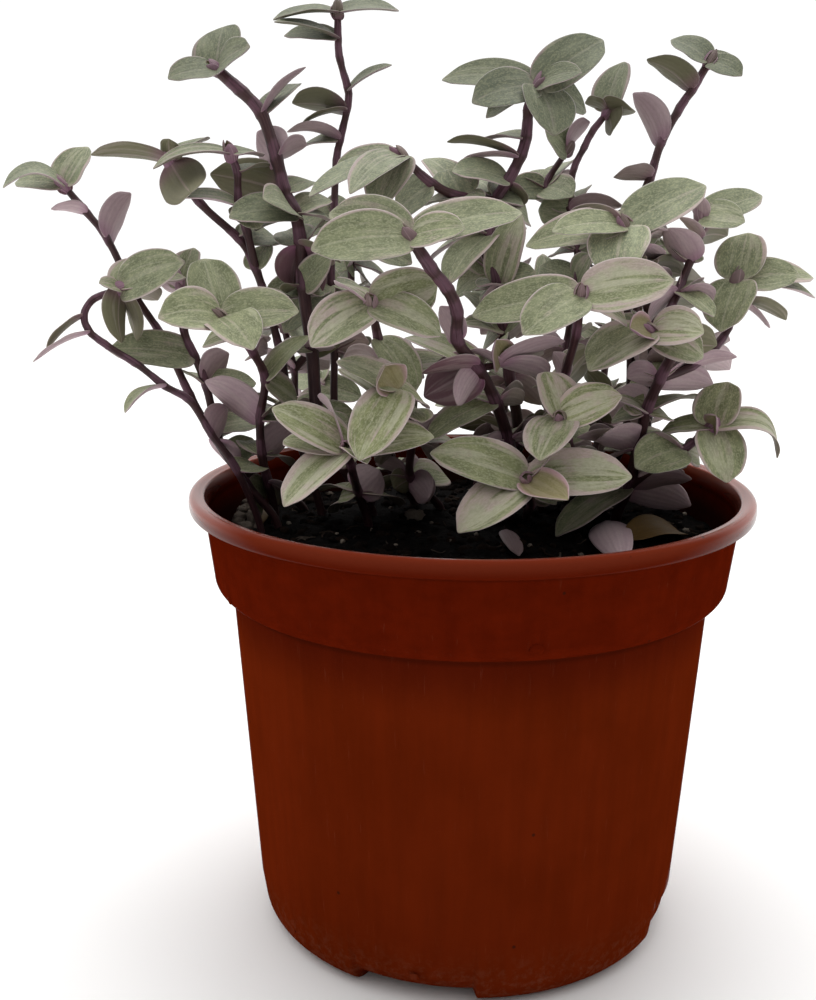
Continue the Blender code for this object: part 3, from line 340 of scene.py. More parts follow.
# More of the small leaves, each on its shoot, where the picture shows one behind the larger leaves.
BEHIND = (
    ("centre", Leaf(3, 405, 338, 14, 9, 60)),
    ("right_middle", Leaf(2, 698, 398, 9, 8, 65)),
    ("upper_middle", Leaf(7, 462, 160, 3, 7, 62)),
    ("right_cluster", Leaf(3, 770, 328, 4, 7, 60)),
    ("back_middle_side", Leaf(0, 543, 254, 6, 9, 45)),
    ("top", Leaf(9, 284, 36, 3, 6, 60)),
    ("upper_middle", Leaf(10, 586, 112, 6, 8, 45)),
    ("back_left_top", Leaf(2, 412, 264, 6, 8, 50)),
    ("upper_middle", Leaf(10, 486, 118, 2, 7, 60)),
    ("upper_left", Leaf(7, 300, 84, 5, 6, 60)),
    ("left_round", Leaf(5, 203, 346, 3, 7, 62)),
    ("top", Leaf(6, 303, 122, 4, 7, 60)),
    ("top", Leaf(5, 303, 146, 4, 7, 60)),
    ("back_left_low", Leaf(0, 362, 398, 5, 7, 55)),
    ("back_middle", Leaf(4, 428, 262, 6, 9, 55)),
    ("left_back", Leaf(2, 184, 372, 3, 7, 110)),
    ("back_middle", Leaf(3, 456, 296, 4, 8, 50)),
)


def sight(col, row, depth):
    """The point that the picture shows at a column and row, at a depth behind the pot's axis."""
    across = (col - CENTRE_COL) / FOCAL
    above = (CENTRE_ROW - row) / FOCAL
    level = across * cos(ROLL) - above * sin(ROLL)
    raised = across * sin(ROLL) + above * cos(ROLL)
    ray = Vector((level, cos(TILT) + raised * sin(TILT), raised * cos(TILT) - sin(TILT)))
    return EYE + ray * ((depth - EYE.y) / ray.y)


def on_level(col, row, height):
    """The point at a height that the picture shows at a column and row."""
    ray = sight(col, row, 0.0) - EYE
    return EYE + ray * ((height - EYE.z) / ray.z)


def hidden_leaves():
    """Leaves on the far side of the joints in the thick of the plant: left and right by turns, or both."""
    chance = Random(HIDDEN_SEED)
    for shoot in SHOOTS:
        for n, (col, row, depth) in enumerate(shoot.joints[:-1]):
            if not (THICK_COLS[0] < col < THICK_COLS[1] and THICK_ROWS[0] < row < THICK_ROWS[1]):
                continue
            turn_about = 1 if n % 2 else -1
            for side in (turn_about, -turn_about) if depth > FAR_DEPTH else (turn_about,):
                leaf = Leaf(n, col + side * chance.uniform(*HIDDEN_SIDE), row + chance.uniform(*HIDDEN_RISE),
                            chance.uniform(*HIDDEN_REACH), chance.uniform(*HIDDEN_WIDTH),
                            chance.uniform(*HIDDEN_TURN))
                if depth > NEAR_DEPTH:
                    yield shoot.name, leaf


def low_leaves():
    """Older leaves at the joints near the soil, left and right by turns."""
    chance = Random(LOW_SEED)
    for shoot in SHOOTS:
        for n, (col, row, _) in enumerate(shoot.joints[:-1]):
            if not (LOW_COLS[0] < col < LOW_COLS[1] and LOW_ROWS[0] < row < LOW_ROWS[1]):
                continue
            side = -1 if n % 2 else 1
            leaf = Leaf(n, col + side * chance.uniform(*LOW_SIDE), row + chance.uniform(*LOW_RISE),
                        chance.uniform(*LOW_REACH), chance.uniform(*LOW_WIDTH), chance.uniform(*LOW_TURN))
            yield shoot.name, leaf


def more_leaves():
    """The smaller leaves at the joints in the thick of the plant."""
    chance = Random(MORE_SEED)
    for shoot in SHOOTS:
        for n, (col, row, depth) in enumerate(shoot.joints[:-1]):
            if not MORE_ROWS[0] < row < MORE_ROWS[1] or depth < NEAR_DEPTH:
                continue
            behind = max(0.0, -depth) * MORE_BEHIND
            tries = sum(count for left, right, count in MORE_TRIES if left < col <= right)
            for attempt in range(tries):
                side = -1 if attempt % 2 else 1
                turns = MORE_TURN_HIGH if row < HIGH_ROW else MORE_TURN_LOW
                leaf = Leaf(n, col + side * chance.uniform(*MORE_SIDE), row + chance.uniform(*MORE_RISE),
                            behind + chance.uniform(*MORE_REACH), chance.uniform(*MORE_WIDTH),
                            chance.uniform(*turns))
                if shoot.name not in OPEN_BESIDE:
                    yield shoot.name, leaf


def smooth_path(points, step):
    """Points about `step` apart along a smooth curve through the given ones, and which of them those are."""
    ends = [points[0] * 2 - points[1], *points, points[-1] * 2 - points[-2]]
    path, marks = [], []
    for before, here, there, after in zip(ends, ends[1:], ends[2:], ends[3:]):
        marks.append(len(path))
        count = max(1, ceil((there - here).length / step))
        for n in range(count):
            t = n / count
            path.append(0.5 * (2 * here + (there - before) * t
                               + (2 * before - 5 * here + 4 * there - after) * t * t
                               + (3 * here - before - 3 * there + after) * t ** 3))
    return [*path, points[-1]], [*marks, len(path)]


def shell(rings, cap_start=True, cap_end=True):
    """Faces between rings of vertex numbers; a ring of one number is a point."""
    faces = []
    for low, high in zip(rings, rings[1:]):
        size = max(len(low), len(high))
        for n in range(size):
            m = (n + 1) % size
            if len(low) == 1:
                faces.append((low[0], high[m], high[n]))
            elif len(high) == 1:
                faces.append((low[n], low[m], high[0]))
            else:
                faces.append((low[n], low[m], high[m], high[n]))
    if cap_start and len(rings[0]) > 2:
        faces.append(tuple(reversed(rings[0])))
    if cap_end and len(rings[-1]) > 2:
        faces.append(tuple(rings[-1]))
    return faces


def sections(path):
    """Each point of a path with two ways across it, which turn no more than the path does."""
    across = None
    for n, point in enumerate(path):
        along = (path[min(n + 1, len(path) - 1)] - path[max(n - 1, 0)]).normalized()
        if across is None:
            across = along.orthogonal()
        across = (across - along * across.dot(along)).normalized()
        yield point, across, along.cross(across)


def tube(path, radii, sides):
    """A closed round bar along a path, with a radius at each of its points."""
    verts, rings = [], []
    for (point, across, other), radius in zip(sections(path), radii):
        rings.append(range(len(verts), len(verts) + sides))
        for k in range(sides):
            angle = 2 * pi * k / sides
            verts.append(point + (across * cos(angle) + other * sin(angle)) * radius)
    return verts, shell(rings)


def turned(profile, sides):
    """A solid of revolution about the z axis, from a profile that starts and ends on it."""
    verts, rings = [], []
    for radius, height in profile:
        count = sides if radius > 0 else 1
        rings.append(range(len(verts), len(verts) + count))
        for k in range(count):
            angle = 2 * pi * k / count
            verts.append(Vector((radius * cos(angle), radius * sin(angle), height)))
    return verts, shell(rings, cap_start=False, cap_end=False)


def upper_face(base, tip, turn):
    """The way that a leaf's upper face looks; of the two ways with that turn, the one that looks up."""
    along = (tip - base).normalized()
    towards = EYE - (base + tip) / 2
    facing = (towards - along * towards.dot(along)).normalized()
    side = along.cross(facing)
    swing = radians(abs(turn))
    ways = [facing * cos(swing) + side * (sin(swing) * hand) for hand in (1, -1)]
    ways.sort(key=lambda way: way.z)
    return ways[1] if turn >= 0 else ways[0]


def half_width(width, t):
    """Half a leaf's width at a share of its length: round at the clasping base, acute at the tip."""
    widest = WIDE_RISE / (WIDE_RISE + WIDE_FALL)
    full = widest ** WIDE_RISE * (1 - widest) ** WIDE_FALL
    return 0.5 * width * t ** WIDE_RISE * (1 - t) ** WIDE_FALL / full + CLASP * (1 - t) ** 6


def rough_blade(base, tip, face, leaf, spare=0.0, start=0.0):
    """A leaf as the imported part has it, to look for room with, or what is left of it beyond its start."""
    along = tip - base
    length = along.length
    along = along / length
    side = along.cross(face).normalized()
    up = side.cross(along)
    cup = max(radians(leaf.cup), 0.01)
    verts, rings = [], []
    for t in (start, *(station for station in LEAF_STATIONS if station > start)):
        centre = base + along * (length * t) + up * (leaf.arch * length * 4 * t * (1 - t))
        normal = (up - along * (leaf.arch * 4 * (1 - 2 * t))).normalized()
        half = half_width(leaf.width, t) * LEAF_FULL + spare
        upper, lower = [], []
        for lane in LEAF_LANES:
            bend = lane * cup
            middle = centre + (side * sin(bend) + normal * (1 - cos(bend))) * (half / cup)
            swell = (normal * cos(bend) - side * sin(bend)) * ((LEAF_THICK / 2 + spare) * (1 - lane * lane))
            upper.append(middle + swell)
            lower.append(middle - swell)
        ring = lower + upper[-2:0:-1]
        rings.append(range(len(verts), len(verts) + len(ring)))
        verts.extend(ring)
    rings.append([len(verts)])
    verts.append(tip)
    return verts, shell(rings)


def tree(body):
    """A search tree of a body's faces, to tell whether it cuts another."""
    return BVHTree.FromPolygons(body[0], body[1])


class Grown:
    """One shoot in space: its joints, its stem's path, and the leaves that found room."""

    def __init__(self, shoot, stock):
        self.shoot = shoot
        self.joints = [sight(*joint) for joint in shoot.joints]
        radius = shoot.thick / 2
        if isinstance(shoot.start[0], str):
            self.family = stock[shoot.start[0]].family
            start = [stock[shoot.start[0]].joints[shoot.start[1]]]
        else:
            self.family = shoot.name
            x, y = shoot.start
            start = [Vector((x, y, SOIL_EDGE_Z - PLANTED)), Vector((x, y, SOIL_TOP_Z))]
        rise = (self.joints[-1] - [*start, *self.joints][-2]).normalized()
        self.bud = (self.joints[-1] - rise * BUD_BELOW, self.joints[-1] + rise * BUD_ABOVE)
        self.first_joint = len(start)
        self.corners = [*start, *self.joints[:-1], self.bud[0] - rise * GAP]
        self.path = smooth_path(self.corners, STEM_STEP)[0]
        last = len(self.path) - 1
        self.radii = [radius * (1 - (1 - STEM_TAPER) * n / last) for n in range(last + 1)]
        self.crown_leaves = []
        self.side_leaves = []

    def rough_stem(self):
        return tube(self.path, [radius + SPARE for radius in self.radii], STEM_SIDES)

    def rough_bud(self):
        heights = (0.0, 0.4, 1.0)
        girths = (0.75, 1.0, 0.4)
        path = [self.bud[0].lerp(self.bud[1], height) for height in heights]
        return tube(path, [BUD_R * girth + SPARE for girth in girths], STEM_SIDES)


def grow():
    """Every shoot with its leaves, each as its place, which is its base, tip and upper face, and its row.

    A leaf that would cut through a stem, a bud or another leaf swings nearer or further along the line of
    sight, or twists a little, until it is clear.
    """
    stock = {}
    for shoot in SHOOTS:
        stock[shoot.name] = Grown(shoot, stock)
    barriers = [("pot", tree(rough_pot()), False), ("soil", tree(rough_soil()), False)]
    for name, shoot in stock.items():
        barriers.append(("stem_" + shoot.family, tree(shoot.rough_stem()), True))
        barriers.append(("leaves_" + name, tree(shoot.rough_bud()), False))
    listed = [(shoot.name, leaf) for shoot in SHOOTS for leaf in shoot.leaves]
    for name, leaf in [*listed, *low_leaves(), *hidden_leaves(), *more_leaves(), *BEHIND]:
        shoot = stock[name]
        in_crown = leaf.joint == len(shoot.joints) - 1
        node = "leaves_" + name if in_crown else "stem_" + shoot.family
        place = settle(shoot, leaf, node, barriers)
        if place is None:
            continue
        leaves = shoot.crown_leaves if in_crown else shoot.side_leaves
        leaves.append((place, leaf))
        body = rough_blade(*place, leaf)
        outer = rough_blade(*place, leaf, start=GROWN_TOGETHER)
        barriers.append((node, tree(body), tree(outer)))
    return stock


def settle(shoot, leaf, node, barriers):
    """The first swing and twist of a leaf that clears everything: its base, tip and upper face."""
    base = shoot.joints[leaf.joint]
    depth = shoot.shoot.joints[leaf.joint][2] + leaf.reach
    for swing in SWINGS:
        tip = sight(leaf.col, leaf.row, depth + swing)
        for twist in TWISTS:
            face = upper_face(base, tip, leaf.turn + twist)
            whole = tree(rough_blade(base, tip, face, leaf, SPARE))
            outer = tree(rough_blade(base, tip, face, leaf, SPARE, start=GROWN_TOGETHER))
            if not any(cuts(whole, outer, node, barrier) for barrier in barriers):
                return base, tip, face
    return None


def cuts(whole, outer, node, barrier):
    """Whether a leaf cuts a barrier. Where both grow as one, only the parts beyond the base count."""
    owner, body, kind = barrier
    if owner != node:
        return bool(whole.overlap(body))
    if kind is True:
        return bool(outer.overlap(body))
    return bool(kind and outer.overlap(kind))


def arc(centre_r, centre_z, radius, start, end, steps):
    """Profile points on a round corner, from one angle to another."""
    angles = [radians(start + (end - start) * n / steps) for n in range(steps + 1)]
    return [(centre_r + radius * cos(angle), centre_z + radius * sin(angle)) for angle in angles]


def wall_r(z):
    """The outer radius of the tapered wall below the collar."""
    return BASE_R + (SHOULDER_R - BASE_R) * z / COLLAR_FOOT_Z


def collar_r(z):
    """The outer radius of the collar."""
    foot_z = COLLAR_FOOT_Z + COLLAR_ROUND
    return COLLAR_FOOT_R + (COLLAR_TOP_R - COLLAR_FOOT_R) * (z - foot_z) / (RIM_Z - LIP_DEEP - foot_z)


def inside_profile(spare, top):
    """The pot's inner side from its top down to the floor, `spare` further in, as radius and height."""
    return [
        (collar_r(top) - WALL - spare, top),
        (COLLAR_FOOT_R - WALL - spare, COLLAR_FOOT_Z + COLLAR_ROUND + 0.5),
        (SHOULDER_R - WALL - spare, COLLAR_FOOT_Z - 0.5),
        (wall_r(BASE_ROUND) - WALL - spare, BASE_ROUND + spare),
        (wall_r(0) - BASE_ROUND + 1.0 - spare, FLOOR_Z + WALL + spare),
        (0.0, FLOOR_Z + WALL + spare),
    ]


def rough_pot():
    """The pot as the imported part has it, for leaves to keep clear of."""
    lip_z = RIM_Z - LIP_DEEP
    outside = [
        (0.0, FLOOR_Z),
        (FOOT_INNER_R, FLOOR_Z),
        (FOOT_INNER_R + 0.6, 0.0),
        *arc(wall_r(0) - BASE_ROUND, BASE_ROUND, BASE_ROUND, -90, -5, 3),
        (SHOULDER_R, COLLAR_FOOT_Z),
        *arc(COLLAR_FOOT_R - COLLAR_ROUND, COLLAR_FOOT_Z + COLLAR_ROUND, COLLAR_ROUND, -75, 0, 2),
        (COLLAR_TOP_R, lip_z),
        (RIM_R - 0.7, lip_z),
        (RIM_R, lip_z + 1.2),
        (RIM_R - 0.3, RIM_Z - 0.8),
        (RIM_R - 1.4, RIM_Z),
        (RIM_INNER_R, RIM_Z - 0.6),
    ]
    return turned(outside + inside_profile(0.0, lip_z - 1.0), ROUGH_POT_SIDES)


def rough_soil():
    """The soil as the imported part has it, for leaves to keep clear of."""
    profile = [*inside_profile(GAP, SOIL_EDGE_Z)[::-1], (SOIL_CROWN_R, SOIL_TOP_Z), (0.0, SOIL_TOP_Z)]
    return turned(profile, ROUGH_POT_SIDES)


# From here on: what is shown. The pot's axis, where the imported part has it.
AXIS = (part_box("pot")[0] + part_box("pot")[1]) / 2
AXIS.z = 0.0

# A shown leaf: the rows and columns of its mesh, its outline, and the start and depth of its sharp tip.
CROWN_GRID, OLDER_GRID = (24, 14), (18, 10)
OUTLINE_RISE, OUTLINE_FALL, OUTLINE_FULL = 0.41, 0.57, 1.08
SHARP_FROM, SHARP_BY = 0.84, 0.36

# Its flesh, the groove along its middle, the waves of its edges and its ripples. Each of them shrinks with
# the half-width towards the leaf's ends, the sooner the larger its last number is.
LEAF_FLESH, FLESH_LEAST, FLESH_HALF = 0.62, 0.3, 2.2
KEEL, KEEL_WIDE, KEEL_HALF = 0.13, 0.13, 2.0
WAVE_HIGH, WAVE_COUNT, WAVE_HALF = (0.04, 0.16), (1.0, 2.2), 3.0
RIPPLE_HIGH, RIPPLE_TURN, RIPPLE_HALF = 0.05, 15.0, 3.0

# How much a leaf may twist, from which share of its length, and lean aside. The most that one cups, and
# the cup and width of the young leaves in a crown.
TWIST, TWIST_FROM, LEAN = 7.0, 0.3, 0.03
DEEPEST_CUP, YOUNG_CUP, YOUNG_WIDE = 52.0, 40.0, 8.6

# Leaves far back and high up are painted darker, as painted shade, and a leaf's chance adds a random deeper
# tone to that.
FAR_PAINTED_SHADE, FAR_DEPTHS = 0.3, (-12.0, 30.0)
HIGH_PAINTED_SHADE, HIGH_LEVELS = 0.75, (158.0, 182.0)
CHANCE_DEEPER = 0.4

# The leaves round a bud: the width of each, how far it rises past the bud and how far it opens.
BUD_LEAVES = ((3.6, 0.0, 0.9), (3.0, 0.5, 0.6), (2.0, 0.9, 0.2))
BUD_LEAF_OUT, BUD_LEAF_ARCH = 0.3, -0.12

# A shown stem: its mesh, its swollen joints, and the thin slanted sheath above each of them.
FINE_STEP, FINE_SIDES = 0.8, 14
JOINT_PROUD, JOINT_LONG, JOINT_NEAR = 0.12, 0.9, 6.0
SHEATH_HIGH, SHEATH_PROUD, SHEATH_LIP, SHEATH_SLANT = 3.1, 0.09, 0.5, 0.55
FRESH_LEVELS = (85.0, 190.0)


def paint(red, green, blue):
    """A colour as light, from its red, green and blue on a screen."""
    steps = (red / 255, green / 255, blue / 255)
    return (*(c / 12.92 if c < 0.04045 else ((c + 0.055) / 1.055) ** 2.4 for c in steps), 1.0)


def smooth_step(value, low, high):
    """0 below low, 1 above high, and smooth between them."""
    share = min(max((value - low) / (high - low), 0.0), 1.0)
    return share * share * (3 - 2 * share)


def hump(value):
    """1 at 0, with a smooth fall to 0 on both sides."""
    return 2.718 ** -(value ** 2)


class Clay:
    """Bodies gathered into one mesh, with named numbers or vectors at their vertices."""

    def __init__(self):
        self.verts, self.faces, self.marks = [], [], {}

    def add(self, verts, faces, **marks):
        """Add a body. A mark is one value for the whole body, or a list with one for each vertex."""
        first = len(self.verts)
        self.verts += verts
        self.faces += [tuple(first + n for n in face) for face in faces]
        for name, value in marks.items():
            values = value if isinstance(value, list) else [float(value)] * len(verts)
            self.marks.setdefault(name, []).extend(values)

    def shown(self, name, finish, slot, nodes=()):
        """The gathered mesh as a piece of the object, with its finish."""
        mesh = bpy.data.meshes.new(name)
        mesh.from_pydata([vert * MM + AXIS for vert in self.verts], [], self.faces)
        for mark, values in self.marks.items():
            kind = "FLOAT" if isinstance(values[0], float) else "FLOAT_VECTOR"
            layer = mesh.attributes.new(mark, kind, "POINT")
            key = "value" if kind == "FLOAT" else "vector"
            layer.data.foreach_set(key, np.array(values, np.float32).ravel())
        mesh.materials.append(finish)
        mesh.shade_smooth()
        mesh.validate()
        piece = bpy.data.objects.new(name, mesh)
        bpy.context.scene.collection.objects.link(piece)
        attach(piece, "root")
        if nodes:
            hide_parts(*nodes)
        return piece


def outline(width, t):
    """Half a shown leaf's width: rounder at both ends than the solid's, with a small sharp tip."""
    widest = OUTLINE_RISE / (OUTLINE_RISE + OUTLINE_FALL)
    full = widest ** OUTLINE_RISE * (1 - widest) ** OUTLINE_FALL
    round_half = 0.5 * OUTLINE_FULL * width * t ** OUTLINE_RISE * (1 - t) ** OUTLINE_FALL / full
    return (round_half + CLASP * (1 - t) ** 6) * (1 - SHARP_BY * smooth_step(t, SHARP_FROM, 1.0))


def leaf_body(base, tip, face, leaf, chance, grid):
    """A fleshy leaf with a keeled middle, thin round edges, a slight wave and a fine point."""
    along = tip - base
    length = along.length
    along = along / length
    side = along.cross(face).normalized()
    up = side.cross(along)
    cup = radians(min(leaf.cup, DEEPEST_CUP))
    rows, columns = grid
    lanes = [sin(pi / 2 * (2 * k / columns - 1)) for k in range(columns + 1)]
    waves = [(chance.uniform(*WAVE_HIGH), chance.uniform(*WAVE_COUNT), chance.uniform(0, 2 * pi))
             for _ in range(2)]
    turn = radians(chance.uniform(-TWIST, TWIST))
    lean = chance.uniform(-LEAN, LEAN)
    seed = chance.uniform(0.0, 90.0)
    verts, rings = [], []
    marks = {"leaf_along": [], "leaf_lane": [], "leaf_upper": [], "leaf_mm": []}

    def note(point, t, lane, upper, half):
        verts.append(point)
        marks["leaf_along"].append(t)
        marks["leaf_lane"].append(lane)
        marks["leaf_upper"].append(upper)
        marks["leaf_mm"].append((lane * half, t * length, seed))

    for row in range(rows):
        t = 0.5 - 0.5 * cos(pi * row / rows)
        bow = leaf.arch * length * 4 * t * (1 - t)
        swerve = lean * length * sin(pi * t)
        centre = base + along * (length * t) + up * bow + side * swerve
        normal = (up - along * (leaf.arch * 4 * (1 - 2 * t))).normalized()
        swing = turn * (t - TWIST_FROM)
        across = side * cos(swing) + normal * sin(swing)
        out_of = normal * cos(swing) - side * sin(swing)
        half = outline(leaf.width, t)
        flesh = LEAF_FLESH / 2 * min(1.0, FLESH_LEAST + half / FLESH_HALF)
        upper, lower = [], []
        for lane in lanes:
            bend = lane * cup
            middle = centre + (across * sin(bend) + out_of * (1 - cos(bend))) * (half / cup)
            out = out_of * cos(bend) - across * sin(bend)
            high, count, phase = waves[lane > 0]
            lift = high * lane * lane * sin(2 * pi * count * t + phase) * min(1.0, half / WAVE_HALF)
            lift -= KEEL * hump(lane / KEEL_WIDE) * min(1.0, half / KEEL_HALF)
            ripple = RIPPLE_HIGH * cos(lane * RIPPLE_TURN) * (1 - lane * lane)
            lift += ripple * min(1.0, half / RIPPLE_HALF)
            swell = flesh * sqrt(max(0.0, 1 - lane * lane))
            upper.append((middle + out * (lift + swell), lane))
            lower.append((middle + out * (lift - swell), lane))
        rings.append(range(len(verts), len(verts) + 2 * columns))
        for point, lane in lower:
            note(point, t, lane, 0.5 if abs(lane) > 0.999 else 0.0, half)
        for point, lane in upper[-2:0:-1]:
            note(point, t, lane, 1.0, half)
    rings.append([len(verts)])
    note(tip, 1.0, 0.0, 0.5, 0.0)
    return verts, shell(rings), marks


def add_leaf(clay, chance, place, leaf, warm, young=0.0, dry=0.0, lilac=None, painted_shading=0.0, grid=CROWN_GRID):
    """A leaf with its own shades: how warm, young, dry and streaky it is, how lilac beneath, and its painted
    shade (painted light where negative) with a random deeper tone.
    """
    base = place[0]
    verts, faces, marks = leaf_body(*place, leaf, chance, grid)
    far_back = smooth_step(base.y, *FAR_DEPTHS)
    high_up = smooth_step(base.z, *HIGH_LEVELS)
    streaky = 0.05 + 0.85 * warm + chance.uniform(-0.3, 0.35)
    if lilac is None:
        lilac = smooth_step(chance.random(), 0.2, 0.7)
    # Painted shade for leaves far back and high up, plus the given painted shading and a random tone.
    tone_and_painted_shade = painted_shading + FAR_PAINTED_SHADE * far_back + HIGH_PAINTED_SHADE * high_up + CHANCE_DEEPER * chance.random() ** 1.5
    clay.add(verts, faces, **marks, leaf_warm=warm, leaf_young=young, leaf_faded=dry, leaf_streaky=streaky,
             leaf_deep=min(1.0, tone_and_painted_shade), leaf_lilac=lilac)


def warmth(base, chance):
    """How yellow a leaf's green is: more so low down and in front, as the picture shows."""
    front = smooth_step(-base.y, -25.0, 30.0)
    low = smooth_step(175.0 - base.z, 0.0, 60.0)
    return min(max(0.15 + 0.5 * front * low + 0.25 * low + chance.uniform(-0.15, 0.2), 0.0), 1.0)


def add_bud(clay, shoot, chance):
    """Young leaves curled round each other where the shoot grows on, open at the top."""
    foot, top = shoot.bud
    rise = (top - foot).normalized()
    across = rise.orthogonal().normalized()
    other = rise.cross(across)
    start = chance.uniform(0, 2 * pi)
    for n, (wide, tall, open_by) in enumerate(BUD_LEAVES):
        angle = start + n * 2 * pi / len(BUD_LEAVES)
        inward = -(across * cos(angle) + other * sin(angle))
        place = (foot - inward * BUD_LEAF_OUT, top + rise * tall - inward * open_by, inward)
        leaf = Leaf(0, 0, 0, 0, wide, 0, BUD_LEAF_ARCH, DEEPEST_CUP)
        add_leaf(clay, chance, place, leaf, 0.4, young=1.0, lilac=chance.uniform(0.3, 1.0))


def stem_body(shoot, chance):
    """A jointed stem: a little swollen at each joint, with a thin sheath above it that ends in a lip."""
    foot, top = shoot.bud
    corners = [*shoot.corners[:-1], foot + (top - foot) * 0.3]
    path, marks = smooth_path(corners, FINE_STEP)
    run = [0.0]
    for here, there in zip(path, path[1:]):
        run.append(run[-1] + (there - here).length)
    whole = run[-1]
    joints = [(run[mark], chance.uniform(0, 2 * pi)) for mark in marks[shoot.first_joint:-1]]
    start = shoot.shoot.thick / 2
    seed = chance.uniform(0, 500)
    verts, rings = [], []
    skin, sheath, fresh = [], [], []
    for (point, across, other), at in zip(sections(path), run):
        taper = start * (1 - (1 - STEM_TAPER) * at / whole)
        rings.append(range(len(verts), len(verts) + FINE_SIDES))
        for k in range(FINE_SIDES):
            angle = 2 * pi * k / FINE_SIDES
            radius, wrapped = taper, 0.0
            for joint, phase in joints:
                if abs(at - joint) > JOINT_NEAR:
                    continue
                near = at - joint + SHEATH_SLANT * sin(angle + phase)
                radius += taper * JOINT_PROUD * hump(near / JOINT_LONG)
                below_lip = 1 - smooth_step(near, SHEATH_HIGH, SHEATH_HIGH + SHEATH_LIP)
                sleeve = smooth_step(near, -0.5, 0.1) * below_lip
                radius += SHEATH_PROUD * sleeve
                wrapped = max(wrapped, sleeve)
            bumpy = noise.noise(Vector((cos(angle) * 0.8, sin(angle) * 0.8, at * 0.35 + seed)))
            radius *= 1 + 0.025 * bumpy
            verts.append(point + (across * cos(angle) + other * sin(angle)) * radius)
            skin.append((cos(angle), sin(angle), at + seed))
            sheath.append(wrapped)
            fresh.append(smooth_step(point.z, *FRESH_LEVELS))
    return verts, shell(rings), {"stem_skin": skin, "stem_sheath": sheath, "stem_fresh": fresh}


# The soil's surface: its mesh, and its swells, each a height and how close they lie.
SOIL_RINGS, SOIL_TURNS = 60, 180
SOIL_SWELLS = ((0.9, 0.09), (0.8, 0.27), (0.45, 0.8))
SOIL_SETTLED, SOIL_DOMED = 0.6, 1.6
SOIL_SEED = 21

# Clods and fibres strewn on it.
CLODS, CLOD_LEAST, CLOD_RANGE, FINE_CLOD = 1500, 0.35, 1.1, 0.6
FIBRES, FIBRE_POINTS, FIBRE_SIDES = 90, 7, 6
FIBRE_LONG, FIBRE_BENT, FIBRE_R = (2.0, 6.0), 0.7, (0.12, 0.26)
BIT_RISE = 0.35

# Pale grit, most of it where the picture shows some.
GRIT_PLACES = ((289, 526), (415, 517), (450, 545), (343, 545), (372, 534), (318, 515), (476, 538),
               (530, 552), (246, 500), (254, 508), (300, 548), (396, 551), (700, 512), (686, 528))
GRIT_STREWN, GRIT_SIZE = 22, (0.35, 0.75)

# Larger bits on the soil: column, row, size, and how pale and how brown.
CRUMBS = ((415, 517, 1.5, 0.7, 1.0), (240, 508, 1.9, 0.5, 1.0), (248, 500, 1.7, 0.4, 1.0),
          (254, 514, 2.1, 0.5, 1.0), (246, 520, 1.5, 0.6, 1.0), (236, 498, 1.5, 0.35, 1.0),
          (262, 508, 1.4, 0.65, 1.0), (258, 522, 1.3, 0.5, 1.0), (250, 492, 1.4, 0.5, 1.0))

# A low heap of crumbs round the foot of the stems on the left, and a pale strand across it.
HEAP_PLACE = (240, 507)
HEAP_R, HEAP_HIGH = 6.5, 4.0
HEAP_CRUMBS, HEAP_SIZE = 46, (0.7, 1.5)
STRAND_START, STRAND_RUN, STRAND_SAG = (262, 505), (26, -15), 3
STRAND_POINTS, STRAND_R, STRAND_RISE, STRAND_CLEAR = 7, 0.22, 0.7, 2.0

# How far from the pot's axis the loose bits lie at most.
LOOSE_R = collar_r(SOIL_EDGE_Z) - WALL - 1.2


def soil_height(x, y):
    """How high the soil's surface is at a place."""
    spread = hypot(x, y)
    edge = collar_r(SOIL_EDGE_Z) - WALL
    height = SOIL_TOP_Z - SOIL_SETTLED - SOIL_DOMED * smooth_step(spread, SOIL_CROWN_R - 8, edge)
    place = Vector((x, y, 3.0))
    for high, close in SOIL_SWELLS:
        height += high * noise.noise(place * close)
    return height


def on_soil(x, y, rise):
    """The place that far above the soil's surface."""
    return Vector((x, y, soil_height(x, y) + rise))


def soil_body():
    """The soil inside the pot, and its surface in fine rings."""
    edge = collar_r(SOIL_EDGE_Z) - WALL - 0.1
    sides = [(0.0, FLOOR_Z + WALL + GAP),
             (wall_r(0) - BASE_ROUND - GAP, FLOOR_Z + WALL + GAP),
             (wall_r(BASE_ROUND) - WALL - GAP, BASE_ROUND + 2.0),
             (SHOULDER_R - WALL - GAP, COLLAR_FOOT_Z - 0.5),
             (COLLAR_FOOT_R - WALL - GAP, COLLAR_FOOT_Z + COLLAR_ROUND + 0.5)]
    surface = [(edge * (1 - ring / SOIL_RINGS), None) for ring in range(SOIL_RINGS + 1)]
    verts, rings = [], []
    for spread, height in sides + surface:
        count = SOIL_TURNS if spread else 1
        rings.append(range(len(verts), len(verts) + count))
        for k in range(count):
            angle = 2 * pi * k / SOIL_TURNS
            x, y = spread * cos(angle), spread * sin(angle)
            verts.append(on_soil(x, y, 0.0) if height is None else Vector((x, y, height)))
    return verts, shell(rings)


@cache
def small_ball(detail):
    """The vertices and faces of a round ball of triangles, 1 mm in radius."""
    form = bmesh.new()
    bmesh.ops.create_icosphere(form, subdivisions=detail, radius=1.0)
    verts = [vert.co.copy() for vert in form.verts]
    faces = [tuple(vert.index for vert in face.verts) for face in form.faces]
    form.free()
    return verts, faces


